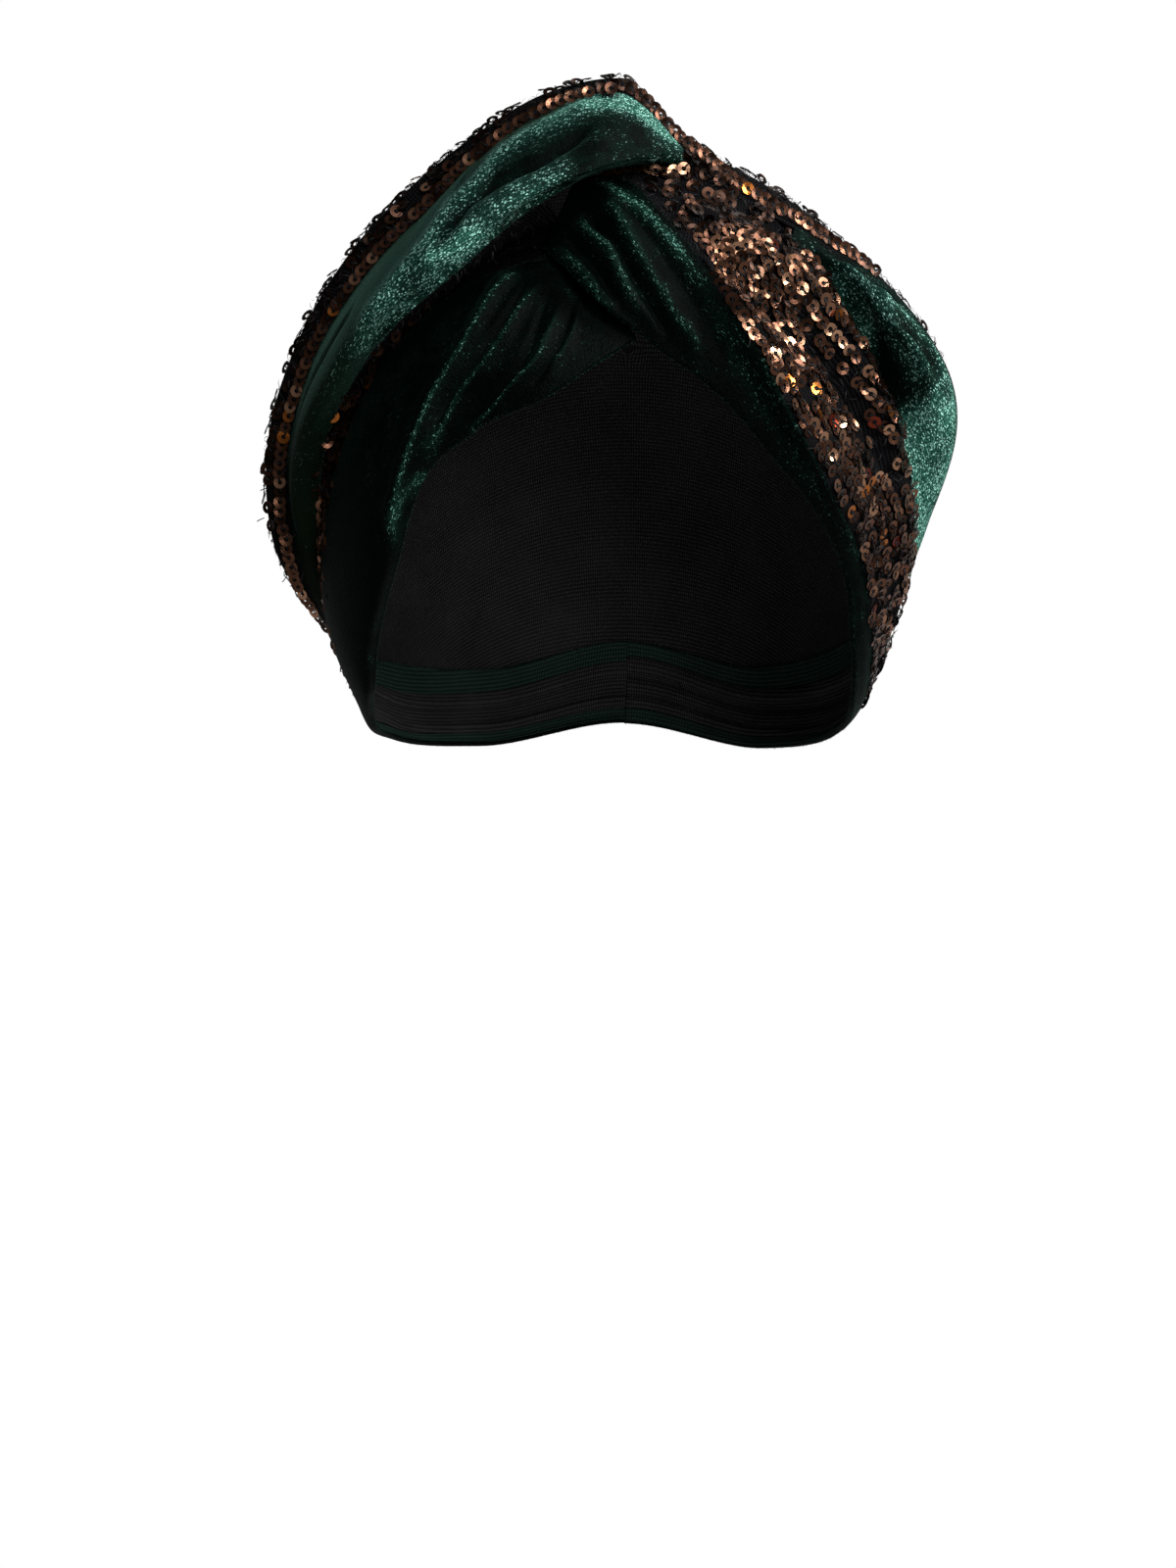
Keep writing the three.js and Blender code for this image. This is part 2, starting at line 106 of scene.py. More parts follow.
# Folds: height, spread below the crest, spread above it, and the crest's path as angles and latitudes
FOLDS = {
    "left_front_velvet": [
        (2.6, 2.0, 4.2, [12.8, 16.2, 19.5, 22.9, 26, 29.5, 32.9, 36.7, 41],
         [22.9, 18.8, 12.2, 7.4, 3.4, -1.6, -6.1, -11.3, -15.7]),
        (2.2, 1.8, 2.2, [9.3, 11.2, 12.7, 14.5, 17.8, 21.5, 26, 30.8],
         [20.3, 16, 13.1, 9.7, 6, 3.5, -1, -4.5]),
        (1.9, 1.6, 1.7, [5.6, 6.7, 7.9, 9.9, 12.2, 17.5, 22.8], [16.8, 13, 9.3, 5.3, 3.5, 0.3, -1.6]),
        (1.3, 1.2, 1.2, [3.2, 3.9, 4.9, 6.2, 8.5], [15.7, 12.6, 9.1, 6.7, 4.1]),
        (-1.7, 1.0, 1.0, [11, 13.6, 16.5, 19.9, 23.5, 27], [21.3, 16, 10.9, 6.9, 3.8, -0.9]),
        (-1.5, 1.0, 1.0, [7.5, 9, 10.2, 12.4, 15.4, 20.1], [19.2, 14.2, 9.3, 5, 2.5, -0.2]),
        (-1.2, 0.9, 0.9, [4.4, 5.3, 6.5, 8.5, 11], [16.5, 12.3, 8.2, 4.8, 2.3]),
    ],
    "right_front_velvet": [
        (2.0, 1.4, 1.7, [-8.3, -5.7, -2.5, -0.3, 2.5], [24.8, 21.1, 16.5, 13.6, 11.8]),
        (2.6, 1.9, 2.1, [-6.1, -2.8, 0.1, 1.9, 3.8, 6, 9], [28.3, 23.4, 20, 16.5, 13.7, 11.8, 10.2]),
        (2.4, 1.9, 2.4, [-2.5, 0.5, 2.6, 4.1, 6.3, 8.5, 10.2, 12.6, 15.4],
         [29.6, 25.7, 22.1, 19.4, 16.3, 13.8, 11.9, 10.2, 8.1]),
        (-1.8, 1.0, 1.0, [-7.4, -4.3, -1.2, 1, 3.2], [27.3, 23.1, 18.3, 14.9, 12.7]),
        (-2.0, 1.0, 1.0, [-4.3, -1.2, 1.4, 3.2, 5, 7.3, 10.5], [28.3, 24.2, 20.7, 17.7, 15.4, 12.8, 10.5]),
        (-1.4, 1.6, 2.0, [-0.4, 3.2, 6, 8.9, 11.8, 15.2, 19], [29.8, 25.9, 22, 18, 14.7, 11.3, 8.2]),
    ],
    "left_rear_velvet": [
        (2.0, 3.0, 5.0, [2, 6.9, 10.7, 14.4, 17.2, 20.2, 22.4, 25.9, 29.8, 34.3],
         [35.4, 33.4, 32.3, 29.9, 24.6, 21.4, 16.9, 13.7, 10.7, 8.8]),
        (1.7, 2.2, 2.4, [3.6, 7.1, 10.6, 14.1, 17.1, 19.7, 22.3, 25.2],
         [25, 23.3, 21.6, 19.4, 16.7, 14.9, 13.6, 12.5]),
        (-2.3, 1.7, 1.8, [1.6, 3.9, 6.2, 9.1, 12.1, 15, 17.4, 18.8, 19.7],
         [30.7, 29.1, 27.4, 25.3, 24.3, 23, 21.3, 18.7, 16.7]),
        (-1.3, 0.8, 0.8, [13.6, 15.8, 17.8, 20.1], [19.2, 17.3, 15.8, 14.9]),
        (-1.6, 1.8, 1.8, [-7, -3.3, -0.9, 1.2], [32, 30.4, 29.2, 27.3]),
        (-1.8, 1.8, 1.8, [36, 44, 52, 60, 66], [17.5, 12.5, 9, 6.5, 3]),
    ],
    "right_front_sequin": [
        (-3.4, 2.2, 2.6, [13.1, 16, 19.4, 24.8, 29.5, 34.1, 38, 42.7, 47.9, 53, 58.9],
         [18.4, 17.2, 16.4, 15.7, 15.2, 14.9, 13.3, 11.1, 9.8, 8.4, 6.7]),
        (2.4, 3.0, 3.6, [12, 18, 25, 31, 38, 46, 56], [24.5, 22.5, 21, 19.6, 17.5, 14.3, 11]),
        (-2.2, 1.8, 2.0, [4, 9.2, 12.2, 14.7], [27, 22.7, 19.9, 18]),
        (-1.6, 1.4, 1.6, [24, 28.3, 33, 40], [20, 17.8, 16.6, 14.8]),
        (1.8, 3.0, 4.0, [8, 14, 20, 28, 36], [23, 18, 13, 8.5, 5]),
        (-1.6, 2.0, 2.0, [3, 8, 14, 22, 30], [32.5, 30.5, 28.6, 28.2, 27]),
    ],
    "right_rear_velvet": [
        (1.8, 1.6, 2.0, [32.2, 35, 38.3, 40.9, 44.3, 48, 52.1], [26.5, 24.4, 21.1, 18.3, 16.2, 14.9, 14.3]),
        (1.9, 1.8, 2.4, [37.2, 40.8, 44.6, 49.6, 53.5, 56.5], [22.1, 20.4, 19.3, 19.1, 17.8, 15.3]),
        (-1.8, 1.0, 1.0, [36.4, 38.8, 41.6, 45.4, 49.4], [22.8, 20.1, 17.7, 16.7, 16.2]),
        (-1.6, 1.6, 1.6, [31, 36, 42, 48], [28.4, 26.0, 24.4, 23.6]),
    ],
    "left_front_sequin": [],
    "crown_sequin": [],
}
# Degrees over which a fold fades at its ends, at most this share of its length
END_FADE, END_SHARE = 3.0, 0.25
# Step in degrees for the slope of a path, and the latitude up to which that slope is corrected
PATH_STEP, STEEPEST = 0.3, 60


def curve_at(knots, values, x, level_end=False):
    """Slope-limited curve through the knots, as the solids use it; a level end has slope 0."""
    knots, y = np.asarray(knots, float), np.asarray(values, float)
    secant = np.diff(y) / np.diff(knots)
    slope = np.zeros(len(y))
    slope[0] = secant[0]
    slope[-1] = 0.0 if level_end else secant[-1]
    product = secant[:-1] * secant[1:]
    total = np.where(product > 0, secant[:-1] + secant[1:], 1.0)
    slope[1:-1] = np.where(product > 0, 2 * product / total, 0.0)
    i = np.clip(np.searchsorted(knots, x, side="right") - 1, 0, len(knots) - 2)
    h = knots[i + 1] - knots[i]
    return hermite(y[i], y[i + 1], slope[i], slope[i + 1], h, (x - knots[i]) / h)


def hermite(first, second, slope_first, slope_second, h, t):
    """Cubic between two values h apart with the given slopes; t runs from 0 to 1."""
    rest = 1 - t
    ends = first * (1 + 2 * t) * rest**2 + second * (3 - 2 * t) * t**2
    return ends + h * t * rest * (slope_first * rest - slope_second * t)


def ease(t):
    return t * t * (3 - 2 * t)


def bell(away, below, above):
    """1 at a path, falling off over a spread of its own on each side."""
    return np.exp(-((away / np.where(away < 0, below, above)) ** 2))


def head_points(angle, lat, lift):
    a, b = np.radians(angle), np.radians(lat)
    ray = (np.cos(b) * np.cos(a))[..., None] * FRONT + np.sin(b)[..., None] * AXIS
    ray[..., 0] += np.cos(b) * np.sin(a)
    radius = 1 / np.linalg.norm(ray / HEAD, axis=-1)
    return ray * (radius + lift)[..., None]


def from_path(angle, lat, angles, lats, end_fade):
    """Distance above a path, in mm across it, and a weight that falls to 0 at the path's two ends."""
    at = np.clip(angle, angles[0], angles[-1])
    ahead = np.clip(at + PATH_STEP, None, angles[-1])
    behind = np.clip(at - PATH_STEP, angles[0], None)
    rise = (curve_at(angles, lats, ahead) - curve_at(angles, lats, behind)) / (ahead - behind)
    rise = rise / np.cos(np.radians(np.clip(lat, -STEEPEST, STEEPEST)))
    away = (lat - curve_at(angles, lats, at)) * DEG_TO_MM / np.sqrt(1 + rise * rise)
    fade = np.clip(np.minimum(angle - angles[0], angles[-1] - angle) / end_fade, 0, 1)
    return away, ease(fade)


def fold_lift(name, angle, lat):
    total = np.zeros_like(lat)
    for height, below, above, angles, lats in FOLDS[name]:
        end_fade = min(END_FADE, (angles[-1] - angles[0]) * END_SHARE)
        away, fade = from_path(angle, lat, angles, lats, end_fade)
        total += height * fade * bell(away, below, above)
    return total


def cloth(name, side, angle, place, fade=1.0):
    """Points of one side's cloth at angles and places; place 2.5 is half way from the third rail on."""
    sign, rails = SIDES[side]
    lats = np.array([curve_at(STATIONS, lat, angle, level_end=True) for lat, _ in rails.values()])
    lifts = np.array([curve_at(STATIONS, lift, angle, level_end=True) for _, lift in rails.values()])
    ways = np.sqrt(np.hypot(np.diff(lats, axis=0) * DEG_TO_MM, np.diff(lifts, axis=0)))
    knots = np.concatenate([np.zeros((1,) + ways.shape[1:]), np.cumsum(ways, axis=0)])
    last = len(rails) - 1
    i = np.clip(np.floor(place).astype(int), 0, last - 1)

    def pick(array, k):
        return np.take_along_axis(array, np.clip(k, 0, len(array) - 1)[None], axis=0)[0]

    def value(values):
        secant = np.diff(values, axis=0) / np.diff(knots, axis=0)
        gap = np.diff(knots, axis=0)

        def slope(k):
            before, after = pick(gap, k - 1), pick(gap, k)
            inner = (pick(secant, k - 1) * after + pick(secant, k) * before) / (before + after)
            inner = np.where(k >= last, pick(secant, 0 * k + last - 1), inner)
            return np.where(k <= 0, pick(secant, 0 * k), inner)

        return hermite(pick(values, i), pick(values, i + 1), slope(i), slope(i + 1), pick(gap, i), place - i)

    lat, lift = value(lats), value(lifts)
    lift = lift + fold_lift(name, angle, lat) * fade
    return head_points(sign * angle, lat, lift)


def rail_place(side, rail):
    return list(SIDES[side][1]).index(rail)


def unit(v):
    return v / np.maximum(np.linalg.norm(v, axis=-1, keepdims=True), 1e-9)


def grid_normals(points, flip, goes_round=False):
    if goes_round:
        wrapped = np.concatenate([points[-1:], points, points[:1]])
        d_u = np.gradient(wrapped, axis=0)[1:-1]
    else:
        d_u = np.gradient(points, axis=0)
    d_v = np.gradient(points, axis=1)
    return unit(np.cross(d_u, d_v)) * flip


def blur_rows(grid, times):
    for _ in range(times):
        padded = np.concatenate([grid[:, :1], grid, grid[:, -1:]], axis=1)
        grid = (padded[:, :-2] + 2 * padded[:, 1:-1] + padded[:, 2:]) / 4
    return grid


def arc_lengths(points, axis):
    step = np.linalg.norm(np.diff(points, axis=axis), axis=-1)
    zero = np.zeros_like(np.take(step, [0], axis=axis))
    return np.concatenate([zero, np.cumsum(step, axis=axis)], axis=axis)


def points_at(at, way, line):
    """Points of a line, or normals along it, at the given lengths along the way."""
    return np.stack([np.interp(at, way, line[:, k]) for k in range(3)], axis=1)


def to_frame(points):
    return (points - np.array([0.0, 0.0, HEAD[2]])) / 1000


def new_mesh(name, verts, faces, material, uvs=None, smooth=True):
    mesh = bpy.data.meshes.new(name)
    mesh.from_pydata(to_frame(verts.reshape(-1, 3)).tolist(), [], faces)
    mesh.validate(clean_customdata=False)
    if uvs is not None:
        layer = mesh.uv_layers.new(name="UVMap")
        loops = np.empty(len(mesh.loops), dtype=np.int32)
        mesh.loops.foreach_get("vertex_index", loops)
        layer.data.foreach_set("uv", uvs.reshape(-1, 2)[loops].astype(np.float32).ravel())
    mesh.polygons.foreach_set("use_smooth", [smooth] * len(mesh.polygons))
    mesh.materials.append(material)
    mesh.update()
    obj = bpy.data.objects.new(name, mesh)
    bpy.context.scene.collection.objects.link(obj)
    return obj


# Rows of faces round a cloth edge
ARC = 4


def all_round(grid):
    """Values of the outer grid, carried on round the edges and back over the inner grid."""
    high, low = np.repeat(grid[:, -1:], ARC, 1), np.repeat(grid[:, :1], ARC, 1)
    return np.concatenate([grid, high, grid[:, ::-1], low], axis=1)


def wall(name, outer, normals, thickness, front, back, uv, capped=False):
    """Closed cloth wall: the outer grid, an inner grid one thickness deeper, and round edges. A capped
    grid goes right round, and its last row is drawn in to a point."""
    columns, rows = outer.shape[:2]
    deep = outer - normals * thickness
    middle = (outer + deep) / 2
    half = thickness / 2

    def arc(edge, inside):
        out = unit(middle[:, edge] - middle[:, inside])
        ring = []
        for k in range(1, ARC + 1):
            turn = math.pi * k / (ARC + 1)
            offset = normals[:, edge] * math.cos(turn) + out * math.sin(turn)
            ring.append(middle[:, edge] + offset * half)
        return np.stack(ring, axis=1)

    high = arc(rows - 1, rows - 2)
    low = arc(0, 1)[:, ::-1]
    rings = np.concatenate([outer, high, deep[:, ::-1], low], axis=1)
    if capped:
        rings[:, rows : rows + ARC] = np.linspace(outer[:, -1], deep[:, -1], ARC, axis=1)
    count = rings.shape[1]
    verts, uvs = rings.reshape(-1, 3), all_round(uv).reshape(-1, 2)
    faces, kinds = [], []
    for i in range(columns if capped else columns - 1):
        a, b = i * count, ((i + 1) % columns) * count
        for j in range(count):
            if capped and rows - 1 <= j < rows + ARC:
                continue
            k = (j + 1) % count
            faces.append((a + j, b + j, b + k, a + k))
            kinds.append(1 if rows + ARC - 1 <= j < 2 * rows + ARC else 0)
        if capped:
            tip = columns * count
            faces.append((a + rows - 1, b + rows - 1, tip))
            faces.append((b + rows + ARC, a + rows + ARC, tip + 1))
            kinds += [0, 1]
    if capped:
        verts = np.concatenate([verts, [outer[:, -1].mean(axis=0)], [deep[:, -1].mean(axis=0)]])
        uvs = np.concatenate([uvs, [[0.0, 0.0]], [[0.0, 0.0]]])
    else:
        for column in (0, columns - 1):
            start = column * count
            ring = [start + j for j in range(count)]
            faces.append(tuple(ring) if column == 0 else tuple(reversed(ring)))
            kinds.append(0)
    obj = new_mesh(name, verts, faces, front, uvs)
    obj.data.materials.append(back)
    obj.data.polygons.foreach_set("material_index", kinds)
    return obj


def crest(name, number):
    """The path of one of the folds, counted from 0."""
    return FOLDS[name][number][3:]


# Where the pile is lighter: partly brushed open, and partly painted sheen and painted highlight along crests,
# rims and edges that catch the light; a negative strength is painted shade along a valley. Columns: strength,
# spread below and above in mm, and the path
NAP_AND_SHEEN = {
    "left_rear_velvet": [
        (0.72, 3.6, 3.0, [-10, -8.1, -3.8, 2, 6.9, 10.7, 14.4, 17.2, 20.2, 22.4, 25.9, 29.8, 34.3, 37.5],
         [34, 34.6, 35.9, 35.4, 33.4, 32.3, 29.9, 24.6, 21.4, 16.9, 13.7, 10.7, 8.8, 8]),
        (1.2, 2.8, 5.0, [-12, -9, -6, -2, 2, 6, 10], [36, 36.5, 37, 37.4, 37.2, 36.5, 35.5]),
        (0.45, 2.4, 2.4, *crest("left_rear_velvet", 1)),
        (0.5, 1.1, 1.1, [2.4, 4.7, 7, 9.4, 11.8, 14.2, 16.8, 19.6, 22.5],
         [24.1, 23.3, 21.9, 20.8, 19.4, 18, 16.4, 14.9, 13.7]),
        (-0.5, 1.6, 1.6, *crest("left_rear_velvet", 2)),
        (0.32, 1.2, 2.6, [34, 38.1, 42.9, 48.2, 55.3, 60.8], [8.4, 7, 5.2, 3.9, 2.9, 2.2]),
        (0.26, 2.2, 2.2, [40, 45, 52, 60, 70], [25.5, 22, 17, 10, 1]),
    ],
    "right_rear_velvet": [
        (0.85, 4.5, 5.5, [50, 57.6, 60.3, 64, 68.6, 73.8, 80, 95],
         [14.4, 13.5, 12.2, 10.2, 8.1, 6, 4, 1.5]),
        (0.3, 6.0, 8.0, [70, 85, 105, 130, 165], [9, 7, 8, 14, 22]),
        (0.6, 1.3, 1.3, *crest("right_rear_velvet", 0)),
        (0.7, 1.6, 1.8, *crest("right_rear_velvet", 1)),
        (0.3, 4.0, 3.0, [44, 50, 56, 62, 68, 75], [26, 24, 21.5, 18.5, 15, 11]),
        (0.5, 3.0, 3.0, [53, 55.6, 58.2, 60.7, 64.9, 71.1], [22, 21.2, 18, 13.9, 11.4, 9.2]),
        (-0.3, 1.2, 1.2, *crest("right_rear_velvet", 2)),
    ],
    "left_front_velvet": [
        (0.5, 0.5, 0.95, *crest("left_front_velvet", 0)),
        (0.46, 0.5, 0.65, *crest("left_front_velvet", 1)),
        (0.44, 0.5, 0.5, *crest("left_front_velvet", 2)),
        (0.36, 0.5, 0.5, *crest("left_front_velvet", 3)),
        (0.05, 5.0, 5.0, [3, 8, 14, 22, 32], [12, 9, 7, 3, -4]),
    ],
    "right_front_velvet": [
        (0.45, 0.9, 1.3, [-6.8, -6.1, -2.8, 0.1, 1.9, 3.8, 6], [29, 28.3, 23.4, 20, 16.5, 13.7, 11.8]),
        (0.38, 0.8, 1.0, *crest("right_front_velvet", 2)),
        (0.5, 0.7, 1.0, [-9.4, -8.3, -5.7, -2.5, -0.3, 2.5], [26, 24.8, 21.1, 16.5, 13.6, 11.8]),
        (0.8, 1.2, 0.9, [-4, -1.8, 1.8, 4.6, 7.4, 10.2, 13.1], [34, 32.5, 29.2, 26.4, 23, 19.5, 15.8]),
        (0.2, 1.5, 1.0, [9, 13.1, 16.2, 19.5, 23.3, 28.5, 38.2, 50, 60],
         [20.9, 15.8, 12.2, 8.9, 5.5, 1.4, -2.7, -5.6, -6.8]),
    ],
}
# How light the pile is everywhere else, kept lower on the front stripes as painted shade, and the degrees
# over which a path fades at its ends
NAP_AND_SHEEN_FLOOR = {
    "left_rear_velvet": 0.09,
    "right_rear_velvet": 0.11,
    "left_front_velvet": 0.03,
    "right_front_velvet": 0.035,
}
NAP_FADE = 4.0

# The strip along the left lobe's rear edge where the pile leans away and looks smooth and olive: its path,
# and its half width in mm by the angle; from SMOOTH_FROM on, over SMOOTH_RUN degrees, the rest is half smooth
SMOOTH_PATH = ([5, 10, 16, 22, 30, 38, 46, 56], [37.2, 36, 34.8, 32.8, 29.3, 24.8, 20, 11.5])
SMOOTH_HALF = ([5, 14, 30, 56], [0.8, 2.8, 5.2, 4.6])
SMOOTH_FROM, SMOOTH_RUN, SMOOTH_REST = 30, 12, 0.5


# How light the pile is at each point: its own brushing with painted sheen and painted shade laid over it
def nap_and_sheen_at(name, angle, lat):
    total = np.full_like(lat, NAP_AND_SHEEN_FLOOR[name])
    for strength, below, above, angles, lats in NAP_AND_SHEEN[name]:
        away, fade = from_path(angle, lat, angles, lats, NAP_FADE)
        total += strength * fade * bell(away, below, above)
    return np.clip(total, 0, 1)


def smooth_at(name, angle, lat):
    if name != "left_rear_velvet":
        return np.zeros_like(lat)
    away, fade = from_path(angle, lat, *SMOOTH_PATH, NAP_FADE)
    strip = fade * np.clip(np.interp(angle, *SMOOTH_HALF) - np.abs(away) + 0.5, 0, 1)
    return np.maximum(strip, SMOOTH_REST * np.clip((angle - SMOOTH_FROM) / SMOOTH_RUN, 0, 1))


def to_angles(points, sign):
    front, up = points @ FRONT, points @ AXIS
    angle = np.degrees(np.arctan2(points[..., 0] * sign, front))
    lat = np.degrees(np.arctan2(up, np.hypot(points[..., 0], front)))
    return angle, lat


# Where a stripe's upper edge runs higher: the rail it climbs to, and the angles where it rises and falls
FLAP = {"right_front_sequin": ("rim", 7.5, 11.0, 22.0, 27.0)}
# Columns crowd towards the front by these powers, on the stripes and on the crown
CROWDING, CROWN_CROWDING = 1.35, 1.25
# Shares of the width over which folds fade at an edge and at a hem, and what is left of them at the hem
EDGE_FADE, HEM_FADE, HEM_KEPT = 0.12, 0.16, 0.2
# A tucked edge lies this much deeper; the drop starts before the rail and takes a run, in mm
SINK, SINK_BEFORE, SINK_RUN = 1.4, 1.0, 1.6


def band_grid(name, side, low, high, starts, columns, rows, under):
    """Outer points of one stripe. Each entry of under is how far, in mm, it runs on beneath a neighbour."""
    sign, rails = SIDES[side]
    v = np.linspace(0, 1, rows)
    base = np.linspace(0, 1, columns) ** CROWDING
    start = starts[0] + (starts[1] - starts[0]) * v
    angle = start[None] + (NAPE - start[None]) * base[:, None]
    low_place, high_place = rail_place(side, low), np.full_like(angle, rail_place(side, high))
    if name in FLAP:
        rail, rise, risen, fall, fallen = FLAP[name]
        climb = np.interp(angle, [rise, risen, fall, fallen], [0, 1, 1, 0])
        high_place = high_place + (rail_place(side, rail) - high_place) * climb
    place = low_place + (high_place - low_place) * v[None]
    edge = np.minimum(v / EDGE_FADE, 1.0) * np.minimum((1 - v) / EDGE_FADE, 1.0)
    fade = edge * (2 - edge)
    if low == "hem":
        hem_fade = HEM_KEPT + (1 - HEM_KEPT) * np.minimum(v / HEM_FADE, 1.0)
        fade = np.maximum(fade, np.where(v < 0.5, hem_fade, 0.0))
    points = cloth(name, side, angle, place, fade)
    if max(under) > 0:
        width = arc_lengths(points, 1)[:, -1:]
        stretch_low, stretch_high = under[0] / width, under[1] / width
        w = -stretch_low + (1 + stretch_low + stretch_high) * v[None]
        place = low_place + (high_place - low_place) * w
        points = cloth(name, side, angle, np.clip(place, 0, len(rails) - 1), fade)
        beyond = np.maximum(-w * width, (w - 1) * width)
        drop = np.clip((beyond + SINK_BEFORE) / SINK_RUN, 0, 1)
        points = points - grid_normals(points, sign) * (ease(drop) * SINK)[..., None]
    return points


def grid_uv(points):
    """Coordinates in decimetres, along the stripe by its middle row and across from its middle."""
    mid = points.shape[1] // 2
    run = arc_lengths(points[:, mid : mid + 1], 0)
    cross = arc_lengths(points, 1)
    cross = cross - cross[:, mid : mid + 1]
    return np.stack([np.repeat(run, points.shape[1], 1), cross], axis=-1) / 100


# Materials

def node_tree(name):
    material = bpy.data.materials.new(name)
    material.use_nodes = True
    tree = material.node_tree
    tree.nodes.clear()
    out = tree.nodes.new("ShaderNodeOutputMaterial")
    shader = tree.nodes.new("ShaderNodeBsdfPrincipled")
    tree.links.new(shader.outputs["BSDF"], out.inputs["Surface"])
    return material, tree, shader


def add(tree, kind, **values):
    node = tree.nodes.new(kind)
    for key, value in values.items():
        if key in node.inputs:
            node.inputs[key].default_value = value
        else:
            setattr(node, key, value)
    return node


def link(tree, source, output, target, inlet):
    tree.links.new(source.outputs[output], target.inputs[inlet])


def calc(tree, operation, *values, clamp=False):
    """Output of a Math node, as a (node, output) pair; each value is a number or such a pair."""
    node = tree.nodes.new("ShaderNodeMath")
    node.operation = operation
    node.use_clamp = clamp
    for socket, value in zip(node.inputs, values):
        if isinstance(value, tuple):
            tree.links.new(value[0].outputs[value[1]], socket)
        else:
            socket.default_value = value
    return node, "Value"


def blend(tree, kind, amount, first, second):
    """Output of a color Mix node, as a pair; each value is a constant or such a pair."""
    node = add(tree, "ShaderNodeMix", data_type="RGBA", blend_type=kind)
    for socket, value in zip((node.inputs[0], node.inputs[6], node.inputs[7]), (amount, first, second)):
        if isinstance(value, tuple) and len(value) == 2:
            tree.links.new(value[0].outputs[value[1]], socket)
        else:
            socket.default_value = value
    return node, 2


def ramp(tree, stops):
    node = tree.nodes.new("ShaderNodeValToRGB")
    elements = node.color_ramp.elements
    while len(elements) < len(stops):
        elements.new(0.5)
    for element, (position, color) in zip(elements, stops):
        element.position = position
        element.color = (*color, 1)
    return node


KNIT_COLUMN = 0.0075
OLIVE = (0.005, 0.009, 0.004)


def velvet(name, shade, lit, tip, sheen, tint, grains, dense, patchy):
    """Short pile on a fine knit. A point attribute says how light the pile is, from 0, closed and dark, to 1,
    open and light with bright tips; it holds the pile brushed open together with painted sheen, painted
    highlight and painted shade, and the bright tips are painted glints. The attribute smooth says where it
    leans away."""
    material, tree, shader = node_tree(name)
    place = add(tree, "ShaderNodeTexCoord")
    brushed = add(tree, "ShaderNodeTexNoise", Scale=90.0, Detail=5.0, Roughness=0.7)
    link(tree, place, "Object", brushed, "Vector")
    fine = add(tree, "ShaderNodeTexNoise", Scale=1700.0, Detail=1.0, Roughness=0.6)
    link(tree, place, "Object", fine, "Vector")
    uv = add(tree, "ShaderNodeUVMap", uv_map="UVMap")
    stretch = add(tree, "ShaderNodeMapping")
    stretch.inputs["Scale"].default_value = (0.55, 1.0, 1.0)
    link(tree, uv, "UV", stretch, "Vector")
    cells = add(tree, "ShaderNodeTexVoronoi", Scale=grains / 10)
    link(tree, stretch, "Vector", cells, "Vector")
    flat = add(tree, "ShaderNodeSeparateXYZ")
    link(tree, uv, "UV", flat, "Vector")
    nap = add(tree, "ShaderNodeAttribute", attribute_name="nap")
    smooth = add(tree, "ShaderNodeAttribute", attribute_name="smooth")
    wander = calc(tree, "MULTIPLY_ADD", (brushed, "Fac"), 5.0, 0.0)
    turn = calc(tree, "MULTIPLY_ADD", (flat, "Y"), 2 * math.pi / KNIT_COLUMN, wander)
    column = calc(tree, "SINE", turn)
    column = calc(tree, "MULTIPLY_ADD", column, 0.5, 0.5)
    opened = calc(tree, "MULTIPLY_ADD", (brushed, "Fac"), patchy, -patchy / 2)
    total = calc(tree, "ADD", opened, (nap, "Fac"), clamp=True)
    rough = calc(tree, "SUBTRACT", 1.0, (smooth, "Fac"), clamp=True)
    total = calc(tree, "MULTIPLY", total, rough)
    # The base colour runs from shade to lit and beyond by that attribute, so it carries the painted sheen and
    # shade
    half = tuple(0.65 * a + 0.35 * b for a, b in zip(shade, lit))
    full = tuple(2.6 * c for c in lit)
    base = ramp(tree, [(0.0, shade), (0.4, half), (0.78, lit), (1.0, full)])
    link(tree, *total, base, "Fac")
    grain = calc(tree, "MULTIPLY_ADD", (fine, "Fac"), 1.7, -0.35, clamp=True)
    groove = calc(tree, "MULTIPLY_ADD", column, 0.45, 0.55)
    grain = calc(tree, "MULTIPLY", grain, groove)
    grain = calc(tree, "MAXIMUM", grain, (smooth, "Fac"))
    ground = blend(tree, "MULTIPLY", 1.0, (base, "Color"), grain)
    # Specks of the bright tip colour are painted glints on the pile, more of them and brighter where the pile
    # is painted lighter
    dot = ramp(tree, [(0.25, (1, 1, 1)), (0.5, (0, 0, 0))])
    link(tree, cells, "Distance", dot, "Fac")
    split = add(tree, "ShaderNodeSeparateColor")
    link(tree, cells, "Color", split, "Color")
    share = calc(tree, "MULTIPLY", total, groove)
    share = calc(tree, "MULTIPLY", share, dense)
    chosen = calc(tree, "LESS_THAN", (split, "Red"), share)
    speck = calc(tree, "MULTIPLY", (dot, "Color"), chosen)
    bright = calc(tree, "MULTIPLY_ADD", (split, "Green"), 0.8, 0.2)
    amount = calc(tree, "MULTIPLY", speck, bright)
    amount = calc(tree, "MULTIPLY", amount, total)
    glint = blend(tree, "MIX", amount, ground, (*tip, 1))
    olive = blend(tree, "MIX", (smooth, "Fac"), glint, (*OLIVE, 1))
    link(tree, *olive, shader, "Base Color")
    bump = add(tree, "ShaderNodeBump", Strength=0.8, Distance=0.0004)
    link(tree, fine, "Fac", bump, "Height")
    link(tree, bump, "Normal", shader, "Normal")
    shader.inputs["Roughness"].default_value = 0.55
    shader.inputs["Specular IOR Level"].default_value = 0.02
    shader.inputs["Sheen Weight"].default_value = sheen
    shader.inputs["Sheen Roughness"].default_value = 0.25
    shader.inputs["Sheen Tint"].default_value = (*tint, 1)
    return material


